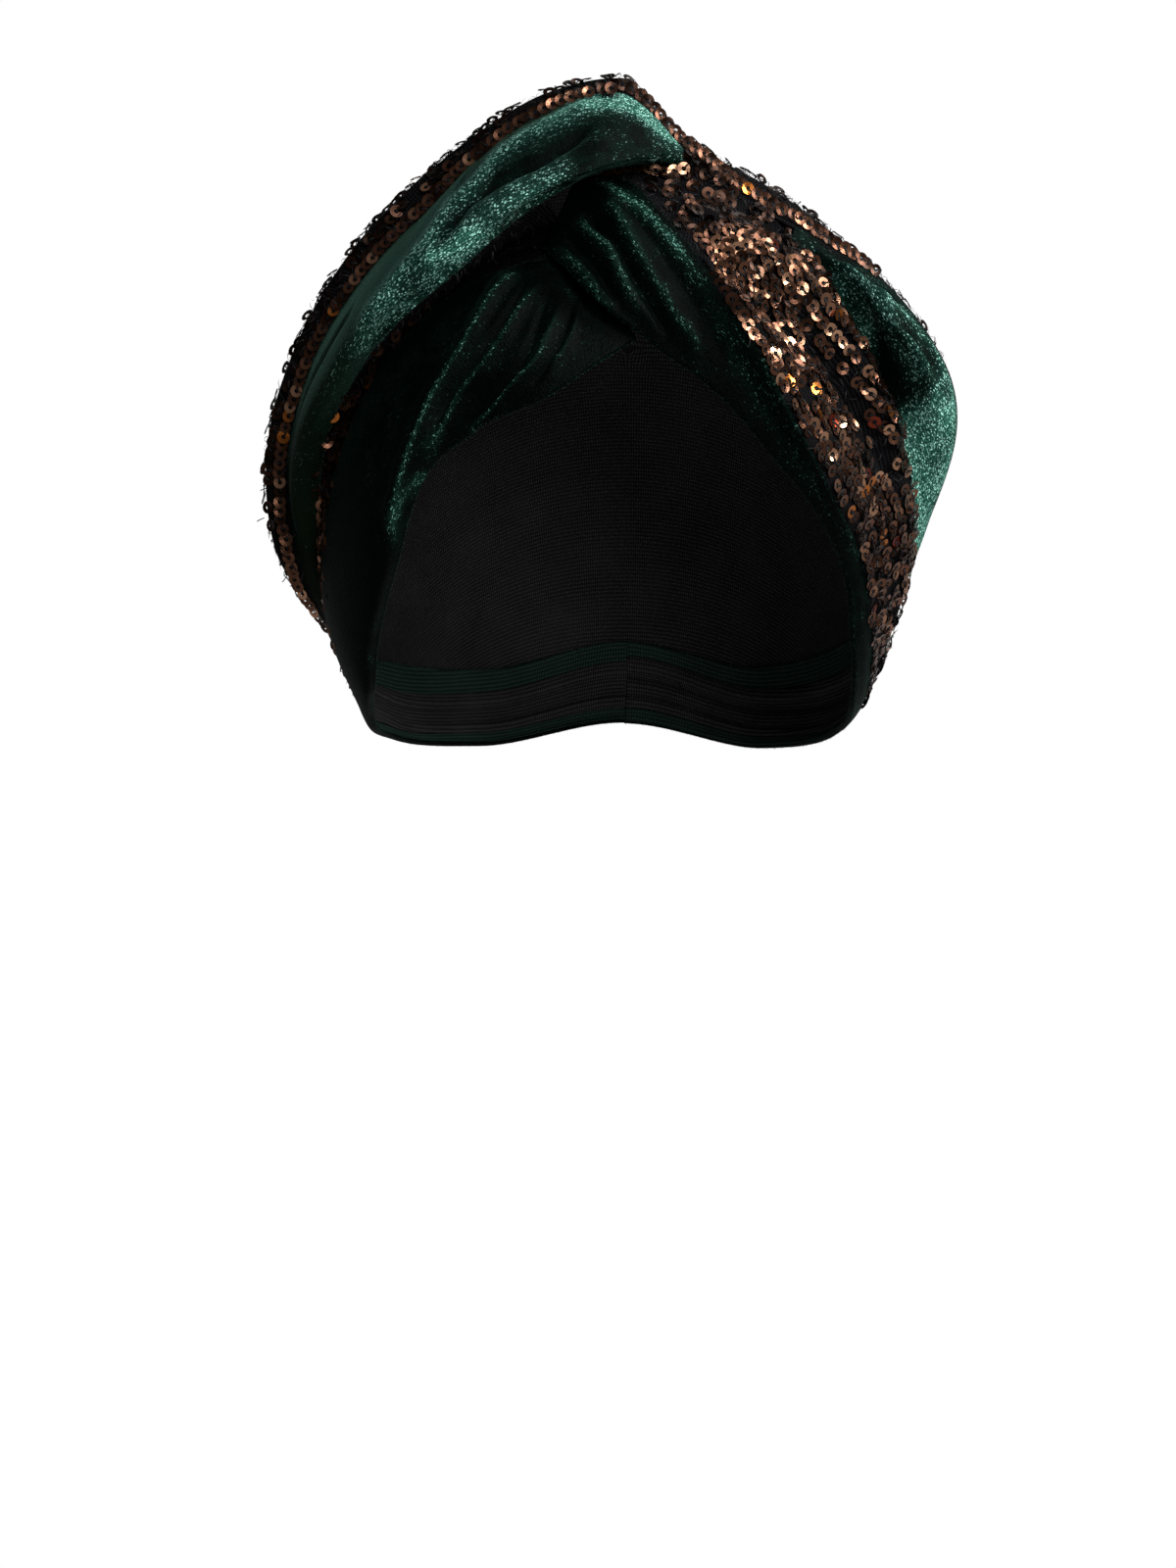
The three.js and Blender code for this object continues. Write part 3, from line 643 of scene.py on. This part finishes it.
def knit(name, dark, light, pitch=0.0013, strength=0.6):
    """Fine rib knit, with stitches in rows; pitch is one stitch, in metres."""
    material, tree, shader = node_tree(name)
    uv = add(tree, "ShaderNodeUVMap", uv_map="UVMap")
    scale = add(tree, "ShaderNodeMapping")
    scale.inputs["Scale"].default_value = (0.1 / pitch, 0.1 / pitch, 1)
    link(tree, uv, "UV", scale, "Vector")
    ribs = add(tree, "ShaderNodeTexWave", wave_type="BANDS", bands_direction="Y", Scale=0.314,
               Distortion=0.8, Detail=1.0)
    rows = add(tree, "ShaderNodeTexWave", wave_type="BANDS", bands_direction="X", Scale=0.5,
               Distortion=1.2, Detail=1.0)
    link(tree, scale, "Vector", ribs, "Vector")
    link(tree, scale, "Vector", rows, "Vector")
    both = calc(tree, "MULTIPLY", (ribs, "Fac"), (rows, "Fac"))
    place = add(tree, "ShaderNodeTexCoord")
    patches = add(tree, "ShaderNodeTexNoise", Scale=60.0, Detail=4.0)
    link(tree, place, "Object", patches, "Vector")
    height = calc(tree, "MULTIPLY_ADD", (patches, "Fac"), 0.35, both)
    colors = ramp(tree, [(0.15, dark), (0.95, light)])
    link(tree, *height, colors, "Fac")
    link(tree, colors, "Color", shader, "Base Color")
    bump = add(tree, "ShaderNodeBump", Strength=strength, Distance=0.0004)
    link(tree, *height, bump, "Height")
    link(tree, bump, "Normal", shader, "Normal")
    shader.inputs["Roughness"].default_value = 0.7
    shader.inputs["Specular IOR Level"].default_value = 0.04
    return material


# Tones of the film, dark to bright copper, then orange and red
FILM_TONES = [
    (0.0, (0.012, 0.006, 0.004)),
    (0.3, (0.055, 0.024, 0.014)),
    (0.55, (0.17, 0.077, 0.045)),
    (0.84, (0.52, 0.28, 0.17)),
    (0.9, (0.45, 0.14, 0.025)),
    (1.0, (0.15, 0.015, 0.012)),
]


def sequin_film(name):
    """Thin coppery film; each sequin has its own tone, kept in the mesh as the attribute tone."""
    material, tree, shader = node_tree(name)
    tone = add(tree, "ShaderNodeAttribute", attribute_name="tone")
    colors = ramp(tree, FILM_TONES)
    link(tree, tone, "Fac", colors, "Fac")
    link(tree, colors, "Color", shader, "Base Color")
    place = add(tree, "ShaderNodeTexCoord")
    ripple = add(tree, "ShaderNodeTexNoise", Scale=420.0, Detail=2.0)
    link(tree, place, "Object", ripple, "Vector")
    bump = add(tree, "ShaderNodeBump", Strength=0.2, Distance=0.0003)
    link(tree, ripple, "Fac", bump, "Height")
    link(tree, bump, "Normal", shader, "Normal")
    shader.inputs["Metallic"].default_value = 0.95
    shader.inputs["Roughness"].default_value = 0.26
    return material


def thread(name, color):
    material, tree, shader = node_tree(name)
    place = add(tree, "ShaderNodeTexCoord")
    twist = add(tree, "ShaderNodeTexNoise", Scale=900.0, Detail=1.0)
    link(tree, place, "Object", twist, "Vector")
    colors = ramp(tree, [(0.3, tuple(0.5 * c for c in color)), (0.7, color)])
    link(tree, twist, "Fac", colors, "Fac")
    link(tree, colors, "Color", shader, "Base Color")
    shader.inputs["Roughness"].default_value = 0.6
    shader.inputs["Specular IOR Level"].default_value = 0.08
    return material


VELVET = velvet("velvet", (0.0006, 0.0035, 0.0025), (0.015, 0.066, 0.048), (0.5, 1.0, 0.84), 0.08,
                (0.35, 0.85, 0.68), 2200.0, 0.95, 1.0)
# A darker copy of the same velvet for the front stripes: its darker colours are painted shade
SHADED_VELVET = velvet("velvet_front", (0.0004, 0.0022, 0.0016), (0.012, 0.052, 0.037), (0.3, 0.72, 0.56),
                     0.015, (0.3, 0.85, 0.66), 2500.0, 0.9, 0.5)
REVERSE = knit("velvet_reverse", (0.006, 0.014, 0.011), (0.034, 0.064, 0.052), 0.0016)
MESH = knit("sequin_mesh", (0.0008, 0.0008, 0.001), (0.0045, 0.0045, 0.006), 0.0014, 1.0)
# The mesh's reverse, much lighter than its black face: painted light on the inside, which gets little light
LIGHTENED_LINING = knit("mesh_reverse_lightened", (0.009, 0.009, 0.01), (0.07, 0.066, 0.07), 0.0014, 1.0)
FILM = sequin_film("sequin_film")
THREAD = thread("sequin_thread", (0.012, 0.011, 0.012))
PILE = thread("velvet_pile", (0.012, 0.05, 0.036))

# The stripes: side, lower and upper rail, start angles of the two edges, and how far in mm each edge is
# tucked under
BANDS = [
    ("left_front_velvet", "left", "hem", "outer", (-4.5, 4), (0, 0)),
    ("left_front_sequin", "left", "outer", "lip", (8, 8), (3, 3)),
    ("left_rear_velvet", "left", "lip", "rim", (-10, -10), (0, 0)),
    ("right_front_velvet", "right", "hem", "outer", (-10, -6), (0, 0)),
    ("right_front_sequin", "right", "outer", "edge", (-2, 0), (3, 3)),
    ("right_rear_velvet", "right", "edge", "rim", (27, 27), (0, 0)),
]
COLUMNS, ROWS, FOLDED_ROWS = 300, 56, 84
# Thickness of the cloth in mm, and how often the normals of its wall are smoothed across
THICK = {"velvet": 1.9, "sequin": 1.0}
STRIPE_BLUR, CROWN_BLUR = 6, 4

# Loose pile along the cut edges of the velvet
# Hairs for each mm of edge, their length, half width at the root, and how deep they are rooted
PILE_PER_MM = 12
PILE_LENGTH = (0.3, 0.75)
PILE_HALF = 0.05
PILE_ROOTED = 0.1
PILE_SEED, SEQUIN_SEED = 31, 11


def pile_edge(name, points, normals, thickness, seed):
    """Fine hairs round both long edges of a stripe, one triangle each."""
    rng = np.random.default_rng(seed)
    corners = []
    for edge, inside in ((0, 1), (-1, -2)):
        line = points[:, edge] - normals[:, edge] * thickness / 2
        out = unit(points[:, edge] - points[:, inside])
        way = arc_lengths(line, 0)
        at = rng.uniform(0, way[-1], int(way[-1] * PILE_PER_MM))
        root, up, away = (points_at(at, way, part) for part in (line, normals[:, edge], out))
        turn = rng.uniform(0, math.pi, len(at))[:, None]
        grow = unit(up * np.cos(turn) + away * np.sin(turn))
        root = root + grow * (thickness / 2 - PILE_ROOTED)
        lean = unit(grow + rng.normal(0, 0.35, (len(at), 3)))
        tip = root + lean * rng.uniform(*PILE_LENGTH, len(at))[:, None]
        side = unit(np.cross(lean, rng.normal(0, 1, (len(at), 3)))) * PILE_HALF
        corners.append(np.stack([root + side, root - side, tip], axis=1).reshape(-1, 3))
    verts = np.concatenate(corners)
    return new_mesh(name, verts, np.arange(len(verts)).reshape(-1, 3).tolist(), PILE, smooth=False)


cloth_grids = {}
cloth_pieces = {}
pile_pieces = {}
for name, side, low, high, starts, under in BANDS:
    soft = name.endswith("velvet")
    rows = FOLDED_ROWS if name.endswith("front_velvet") else ROWS
    points = band_grid(name, side, low, high, starts, COLUMNS, rows, under)
    normals = grid_normals(points, SIDES[side][0])
    deep_normals = unit(blur_rows(normals, STRIPE_BLUR))
    uv = grid_uv(points)
    # The front stripes take the darker copy of the velvet, painted shade
    pile = SHADED_VELVET if "_front_" in name else VELVET
    front, back = (pile, REVERSE) if soft else (MESH, LIGHTENED_LINING)
    thick = THICK["velvet" if soft else "sequin"]
    if SIDES[side][0] < 0:
        points, normals, deep_normals = points[::-1], normals[::-1], deep_normals[::-1]
        uv = uv[::-1]
    piece = wall(name + "_cloth", points, deep_normals, thick, front, back, uv)
    if soft:
        seed = PILE_SEED + len(pile_pieces)
        pile_pieces[name] = pile_edge(name + "_pile", points, deep_normals, thick, seed)
        # Each point of a velvet stripe gets how light its pile is, with the painted sheen and shade, and
        # where it lies smooth
        for kind, made in (("nap", nap_and_sheen_at), ("smooth", smooth_at)):
            value = made(name, *to_angles(points, SIDES[side][0]))
            layer = piece.data.attributes.new(kind, "FLOAT", "POINT")
            layer.data.foreach_set("value", all_round(value).ravel())
    cloth_grids[name] = (points, normals)
    cloth_pieces[name] = piece


# The crown: one closed sheet round the pole, which starts a little below the rim
CROWN_TURNS, CROWN_ROWS = 420, 90
CROWN_TUCK = 0.12
turns = np.linspace(-180, 180, CROWN_TURNS, endpoint=False)
warped = np.sign(turns) * 180 * (np.abs(turns) / 180) ** CROWN_CROWDING
columns = []
for turn in warped:
    side = "left" if turn < 0 else "right"
    low_place = rail_place(side, "rim")
    place = np.linspace(low_place - CROWN_TUCK, rail_place(side, "pole"), CROWN_ROWS)
    angle = np.full(CROWN_ROWS, min(abs(turn), 180.0))
    columns.append(cloth("crown_sequin", side, angle, place))
crown = np.stack(columns)
crown_normals = grid_normals(crown, 1, True)
crown_way = arc_lengths(crown[:, ::-1], 1)[:, ::-1]
spin = np.radians(warped)[:, None]
crown_uv = np.stack([crown_way * np.sin(spin), -crown_way * np.cos(spin)], axis=-1) / 100
crown_deep = unit(blur_rows(crown_normals, CROWN_BLUR))
piece = wall("crown_sequin_cloth", crown, crown_deep, THICK["sequin"], MESH, LIGHTENED_LINING, crown_uv, True)
cloth_pieces["crown_sequin"] = piece
cloth_grids["crown_sequin"] = (crown, crown_normals)


# Sequins: thin cupped rings sewn in strings by a black thread from the hole over the edge

# Sizes in mm: radii, distance between rows and between sequins in a row, and the rim's height over the hole
SEQUIN_RADIUS, HOLE_RADIUS = 1.9, 0.7
ROW_STEP, SEQUIN_STEP = 4.4, 2.8
# From a cloth's edge to its first row, in mm, on the stripes and on the crown, and the angle up to which
# the crown's first row has no gaps
FIRST_ROW, CROWN_FIRST_ROW = 4.4, 4.0
UNBROKEN = 43
RING = 12
CUP = 0.17
# The stitch over a sequin's rim: reach from the hole, height and half width, in mm
STITCH = [(-0.15, -0.25, 0.22), (0.6, 0.14, 0.27), (1.7, 0.34, 0.25), (1.98, 0.1, 0.2), (2.05, -0.5, 0.14)]

# Where sequins are left out so the black mesh shows: valleys where the mesh is bare, and on the left stripe
# near the knot painted shade, where the strip lies in shadow. Columns: half width in mm, share of sequins
# left, and the path
BARE_AND_SHADE = {
    "right_front_sequin": [
        (2.2, 0.0, [16, 19.4, 24.8, 29.5, 34.1, 38, 42.7, 47.9, 53, 58.9],
         [17.4, 16.4, 15.7, 15.2, 14.9, 13.3, 11.1, 9.8, 8.4, 6.7]),
        (6.5, 0.4, [-2, 3, 8, 14, 20, 26], [30, 29.5, 28.5, 28.5, 29, 29]),
        (9.0, 0.0, [-6, -2, 5.5], [29, 29, 29]),
        (2.0, 0.2, [6, 9.2, 12.2, 14.7], [25, 22.7, 19.9, 18]),
    ],
    "crown_sequin": [
        (9.0, 0.5, [4, 10, 16, 24, 32, 40, 50], [44, 41, 39, 38, 37, 36, 35]),
        (3.0, 0.0, [43, 45, 60, 75, 90], [31, 30.2, 24.2, 15.2, 10]),
    ],
    "left_front_sequin": [
        # Left out where the strip lies in shadow: black mesh shown as painted shade
        (12.0, 0.0, [8, 14, 20, 26], [30, 25, 21, 17.5]),
        (12.0, 0.25, [25, 30, 36, 42], [18, 16, 13, 10.5]),
    ],
}
# Painted light and shade on the sequins: a positive shift is painted highlight where they catch the light, a
# negative one painted shade where they reflect little light. Columns: shift of tone, half width in mm, and
# the path
SEQUIN_LIGHT_AND_SHADE = {
    "right_front_sequin": [
        (-0.42, 11.0, [-4, 3, 8, 14, 20, 26, 30], [33, 31.5, 29.5, 29, 29.5, 29.5, 29]),
        (0.1, 4.5, [13, 18, 24, 30, 38, 46], [24, 22.5, 21.5, 20.5, 18.5, 15]),
        (0.1, 12.0, [30, 40, 52, 60, 70, 80, 95], [6, 4, 4, 1, -3, -8, -12]),
    ],
    "crown_sequin": [
        (-0.36, 14.0, [-4, 4, 10, 16, 24, 32, 40, 50], [45, 44, 42, 40, 39, 38, 37, 36]),
    ],
    "left_front_sequin": [],
}
# Share of sequins left in the rows behind the crown's first one, by the angle round from the front
CROWN_SHARE = ([0, 50, 70, 95, 120, 180], [0.6, 0.6, 0.65, 0.8, 0.95, 0.95])
# Painted shade on those rows, darker on the front half and most at the front left, where less light falls:
# shift of tone by the signed angle
CROWN_PAINTED_SHADE = ([-180, -110, -80, -50, 0, 40, 90, 180], [0.0, 0.0, -0.22, -0.32, -0.3, -0.2, 0.0, 0.0])
# How far the sequins turn to FACING, by the angle round: the crown's first row, and all others where the
# cloth itself faces away; a turned sequin is lifted by this many mm so that it clears the cloth
RIM_TURN = ([0, 50, 75, 100], [1.5, 1.5, 0.6, 0.0])
TURN = ([0, 60, 100], [0.7, 0.7, 0.0])
FACING = np.array([0.0, -1.0, 0.1])
RIM_LIFT, TURN_LIFT = 1.25, 0.7
CROWN_TURN, STRING_TURN = 0.4, 1.2
# Lean back from the string, its spread, the spread of the roll, and the share of both on the calm strings
LEAN, LEAN_SPREAD, ROLL_SPREAD, CALM = 0.16, 0.17, 0.2, 0.4
# Single strings laid across the rows, as angles and latitudes
STRINGS = {
    "right_front_sequin": [([-4, 0, 3.5, 9.2, 12.6], [34, 34, 34, 34, 33.8])],
    "crown_sequin": [],
    "left_front_sequin": [],
}
# A loose loop of thread: reach and height along it, half width, in mm, and the share of spots that have one
LOOP = [(-1.6, 0.05), (-0.9, 0.7), (0.0, 0.9), (0.9, 0.65), (1.6, 0.05)]
LOOP_HALF = 0.14
LOOP_SHARE = 0.6


def kept(name, sign, points, row, rng):
    """Which of the spots have a sequin."""
    angle, lat = to_angles(points, sign)
    ok = rng.random(len(points)) > 0.1
    if name == "crown_sequin":
        behind = row > 0
        ok |= ~behind
        ok &= ~behind | (rng.random(len(points)) < np.interp(np.abs(angle), *CROWN_SHARE))
    for half, share, angles, lats in BARE_AND_SHADE[name]:
        inside = (angle > angles[0]) & (angle < angles[-1])
        away, _ = from_path(angle, lat, angles, lats, 1.0)
        spare = (row == 0) & (name == "crown_sequin") & (angle < UNBROKEN)
        ok &= ~(inside & (np.abs(away) < half) & (rng.random(len(points)) > share)) | spare
    return ok


def tones_at(name, sign, points, row, rng):
    angle, lat = to_angles(points, sign)
    tone = rng.normal(0.38, 0.16, len(points))
    # Painted highlight and painted shade from the table, laid over each sequin's random tone
    for shift, half, angles, lats in SEQUIN_LIGHT_AND_SHADE[name]:
        away, fade = from_path(angle, lat, angles, lats, 3.0)
        tone += shift * fade * np.clip((half - np.abs(away)) / 2 + 0.5, 0, 1)
    if name == "crown_sequin":
        # Painted shade on the crown's rows behind the first
        tone += np.where(row > 0, np.interp(angle, *CROWN_PAINTED_SHADE), 0.1)
    tone = np.clip(tone, 0.02, 0.82)
    special = rng.random(len(points))
    tone = np.where(row < 0, rng.normal(0.84, 0.05, len(points)), tone)
    rare = np.where(tone > 0.3, 0.05, 0.012)
    # A few sequins set to bright copper are painted highlights; the rare orange and red ones are the film's
    # own colours
    tone = np.where((special > 0.97) & (tone > 0.25), 0.84, tone)
    return np.where(special < rare, 0.9, np.where(special < rare + 0.014, 0.99, tone))


def sequins(name, band, grid, normals, first_row, seed):
    """All sequins of one stripe with their stitches and loops, in rows along it and on single strings."""
    rng = np.random.default_rng(seed)
    across_way = arc_lengths(grid, 1)
    width = across_way[:, -1]
    sign = -1 if band.startswith("left") else 1
    spots = []

    def hang(line, up, row):
        way = arc_lengths(line, 0)
        if way[-1] < 5:
            return
        at = np.arange(rng.uniform(1, SEQUIN_STEP), way[-1] - 1, SEQUIN_STEP)
        at = at + rng.normal(0, 0.25, len(at))
        p = points_at(at, way, line)
        n = unit(points_at(at, way, up))
        q = points_at(at + 0.5, way, line)
        spots.append((p, n, unit(q - p + 1e-9), np.full(len(at), row)))

    for row in range(int(width.max() / ROW_STEP)):
        want = first_row + row * ROW_STEP
        i = np.arange(len(grid))
        hit = (across_way < want).sum(axis=1) - 1
        ok = (want < width - 1.2) & (hit >= 0)
        hit = np.clip(hit, 0, grid.shape[1] - 2)
        lo, hi = across_way[i, hit], across_way[i, hit + 1]
        t = ((want - lo) / np.maximum(hi - lo, 1e-6))[:, None]
        line = grid[i, hit] * (1 - t) + grid[i, hit + 1] * t
        up = unit(normals[i, hit] * (1 - t) + normals[i, hit + 1] * t)
        for run in np.split(i, np.where(~ok)[0]):
            run = run[ok[run]]
            if len(run) > 2:
                hang(line[run], up[run], row)
    grid_angle, grid_lat = to_angles(grid, sign)
    for angles, lats in STRINGS[band]:
        at = np.arange(angles[0], angles[-1], 0.5)
        miss = (grid_angle[None] - at[:, None, None]) ** 2
        miss = miss + (grid_lat[None] - curve_at(angles, lats, at)[:, None, None]) ** 2
        near = miss.reshape(len(at), -1).argmin(axis=1)
        line, up = grid.reshape(-1, 3)[near], normals.reshape(-1, 3)[near]
        line = (line[:-2] + 2 * line[1:-1] + line[2:]) / 4
        hang(line, up[1:-1], -1)
    p, n, t, row = (np.concatenate(parts) for parts in zip(*spots))
    keep = kept(band, sign, p, row, rng) | (row < 0)
    b = unit(np.cross(n, t))
    t = unit(np.cross(b, n))
    total = len(p)
    on_rim = (row == 0) & (band == "crown_sequin")
    calm = np.where((row < 0) | on_rim, CALM, 1.0)
    lean = LEAN + rng.normal(0.0, LEAN_SPREAD, total) * calm
    roll = rng.normal(0.0, ROLL_SPREAD, total) * calm
    tone = tones_at(band, sign, p, row, rng)
    angle, _ = to_angles(p, sign)
    turned = np.interp(np.abs(angle), *TURN) * np.clip(0.75 - n @ FACING, 0, 1)
    if band == "crown_sequin":
        turned = np.where(on_rim, np.interp(np.abs(angle), *RIM_TURN), CROWN_TURN * turned)
    turned = np.where(row < 0, STRING_TURN, turned)
    n = unit(n + turned[:, None] * FACING)
    p = p + n * (turned * np.where(on_rim, RIM_LIFT, TURN_LIFT))[:, None]
    t = unit(t - n * (t * n).sum(1, keepdims=True))
    b = np.cross(n, t)
    p = p + b * (rng.normal(0, 0.35, total) * calm)[:, None]
    axis_n = unit(n + t * lean[:, None] + b * roll[:, None])
    axis_t = unit(t - axis_n * (t * axis_n).sum(1, keepdims=True))
    axis_b = np.cross(axis_n, axis_t)
    centre = p + n * (0.3 + 0.75 * np.abs(lean) + 0.5 * np.abs(roll))[:, None]
    twist = rng.normal(0, 0.6, total)
    size = rng.normal(1.0, 0.03, total)
    turn = np.linspace(0, 2 * math.pi, RING, endpoint=False)
    loose = (rng.random(total) < LOOP_SHARE) & (keep | (row > 0))
    loop_turn = rng.uniform(0, 2 * math.pi, total)
    loop_shift = rng.normal(0, 1.3, (total, 2))
    verts, faces, kinds, tones = [], [], [], []

    def ribbon(pairs):
        base = len(verts)
        for pair in pairs:
            verts.extend(pair)
        for j in range(len(pairs) - 1):
            faces.append((base + 2 * j, base + 2 * j + 1, base + 2 * j + 3, base + 2 * j + 2))
            kinds.append(1)
        tones.extend([0.0] * (2 * len(pairs)))

    for k in range(total):
        if keep[k]:
            base = len(verts)
            for radius, cup in ((SEQUIN_RADIUS * size[k], CUP), (HOLE_RADIUS, 0.0)):
                for a in turn:
                    c, s = math.cos(a), math.sin(a)
                    verts.append(centre[k] + (axis_t[k] * c + axis_b[k] * s) * radius + axis_n[k] * cup)
            for j in range(RING):
                m = (j + 1) % RING
                faces.append((base + j, base + m, base + RING + m, base + RING + j))
                kinds.append(0)
            tones += [tone[k]] * (2 * RING)
            way = axis_t[k] * math.cos(twist[k]) + axis_b[k] * math.sin(twist[k])
            side = np.cross(axis_n[k], way)
            pairs = []
            for reach, height, half in STITCH:
                spot = centre[k] + way * reach + axis_n[k] * height
                pairs.append((spot + side * half, spot - side * half))
            ribbon(pairs)
        if loose[k]:
            way = t[k] * math.cos(loop_turn[k]) + b[k] * math.sin(loop_turn[k])
            side = np.cross(n[k], way) * LOOP_HALF
            start = p[k] + t[k] * loop_shift[k, 0] + b[k] * loop_shift[k, 1]
            loop = [start + way * reach + n[k] * height for reach, height in LOOP]
            ribbon([(spot + side, spot - side) for spot in loop])
    obj = new_mesh(name, np.array(verts), faces, FILM, smooth=False)
    obj.data.materials.append(THREAD)
    obj.data.polygons.foreach_set("material_index", kinds)
    attribute = obj.data.attributes.new("tone", "FLOAT", "POINT")
    attribute.data.foreach_set("value", tones)
    return obj


sequin_pieces = {}
for number, name in enumerate(("left_front_sequin", "right_front_sequin", "crown_sequin")):
    first = CROWN_FIRST_ROW if name == "crown_sequin" else FIRST_ROW
    sequin_pieces[name] = sequins(name + "s", name, *cloth_grids[name], first, SEQUIN_SEED + number)

# Each stripe and the sequins and pile sewn on it ride on the root, and the stripe's part from model.glb is
# hidden
for name, piece in cloth_pieces.items():
    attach(piece, "root")
    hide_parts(name)
    sewn_on = [made[name] for made in (sequin_pieces, pile_pieces) if name in made]
    for other in sewn_on:
        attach(other, "root")

# Camera at the photograph's place
camera = bpy.data.objects.new("camera", bpy.data.cameras.new("camera"))
camera.data.lens = 54.0
camera.data.sensor_width = 36.0
camera.location = (0.0366, -0.6990, 0.0990)
camera.rotation_euler = (math.radians(69.3), 0.0, math.radians(3.6445))
bpy.context.scene.collection.objects.link(camera)
bpy.context.scene.camera = camera


def area_light(name, place, target, size, power, color=(1, 1, 1)):
    data = bpy.data.lights.new(name, "AREA")
    data.shape = "DISK"
    data.size = size
    data.energy = power
    data.color = color
    obj = bpy.data.objects.new(name, data)
    obj.location = place
    way = np.array(target) - np.array(place)
    flat = math.hypot(way[0], way[1])
    obj.rotation_euler = (math.atan2(flat, -way[2]), 0, math.atan2(way[0], -way[1]) + math.pi)
    bpy.context.scene.collection.objects.link(obj)


MIDDLE = (0.0, 0.0, -0.05)
area_light("side", (0.9, -0.1, 0.5), MIDDLE, 0.4, 14, (1.0, 0.98, 0.95))
area_light("top", (0.45, 0.6, 0.95), MIDDLE, 0.6, 2.5)
area_light("front", (0.5, -1.2, 0.5), MIDDLE, 0.5, 5)

sun_data = bpy.data.lights.new("sun", "SUN")
sun_data.energy = 2.9
sun_data.angle = math.radians(25)
sun = bpy.data.objects.new("sun", sun_data)
sun.rotation_euler = (math.radians(35), 0, math.radians(40))
bpy.context.scene.collection.objects.link(sun)


def for_camera(tree, plain, seen, out):
    """One shader for the light that falls on the part, and another for what the camera sees."""
    path = add(tree, "ShaderNodeLightPath")
    mix = add(tree, "ShaderNodeMixShader")
    link(tree, path, "Is Camera Ray", mix, "Fac")
    tree.links.new(plain, mix.inputs[1])
    tree.links.new(seen, mix.inputs[2])
    link(tree, mix, "Shader", out, "Surface")


world = bpy.data.worlds.new("studio")
world.use_nodes = True
bpy.context.scene.world = world
tree = world.node_tree
background = tree.nodes["Background"]
background.inputs["Color"].default_value = (1, 1, 1, 1)
background.inputs["Strength"].default_value = 0.06
seen = tree.nodes.new("ShaderNodeBackground")
seen.inputs["Color"].default_value = (1, 1, 1, 1)
seen.inputs["Strength"].default_value = 1.0
for_camera(tree, background.outputs["Background"], seen.outputs["Background"], tree.nodes["World Output"])

floor_mesh = bpy.data.meshes.new("floor")
far, level = 30, -0.62
corners = [(-far, -far, level), (far, -far, level), (far, far, level), (-far, far, level)]
floor_mesh.from_pydata(corners, [], [(0, 1, 2, 3)])
floor = bpy.data.objects.new("floor", floor_mesh)
bpy.context.scene.collection.objects.link(floor)
pale, pale_tree, pale_shader = node_tree("floor_paper")
pale_shader.inputs["Base Color"].default_value = (0.3, 0.3, 0.3, 1)
pale_shader.inputs["Roughness"].default_value = 0.9
bright = pale_tree.nodes.new("ShaderNodeEmission")
pale_out = pale_tree.nodes["Material Output"]
for_camera(pale_tree, pale_shader.outputs["BSDF"], bright.outputs["Emission"], pale_out)
floor_mesh.materials.append(pale)

bpy.context.scene.view_settings.view_transform = "Standard"
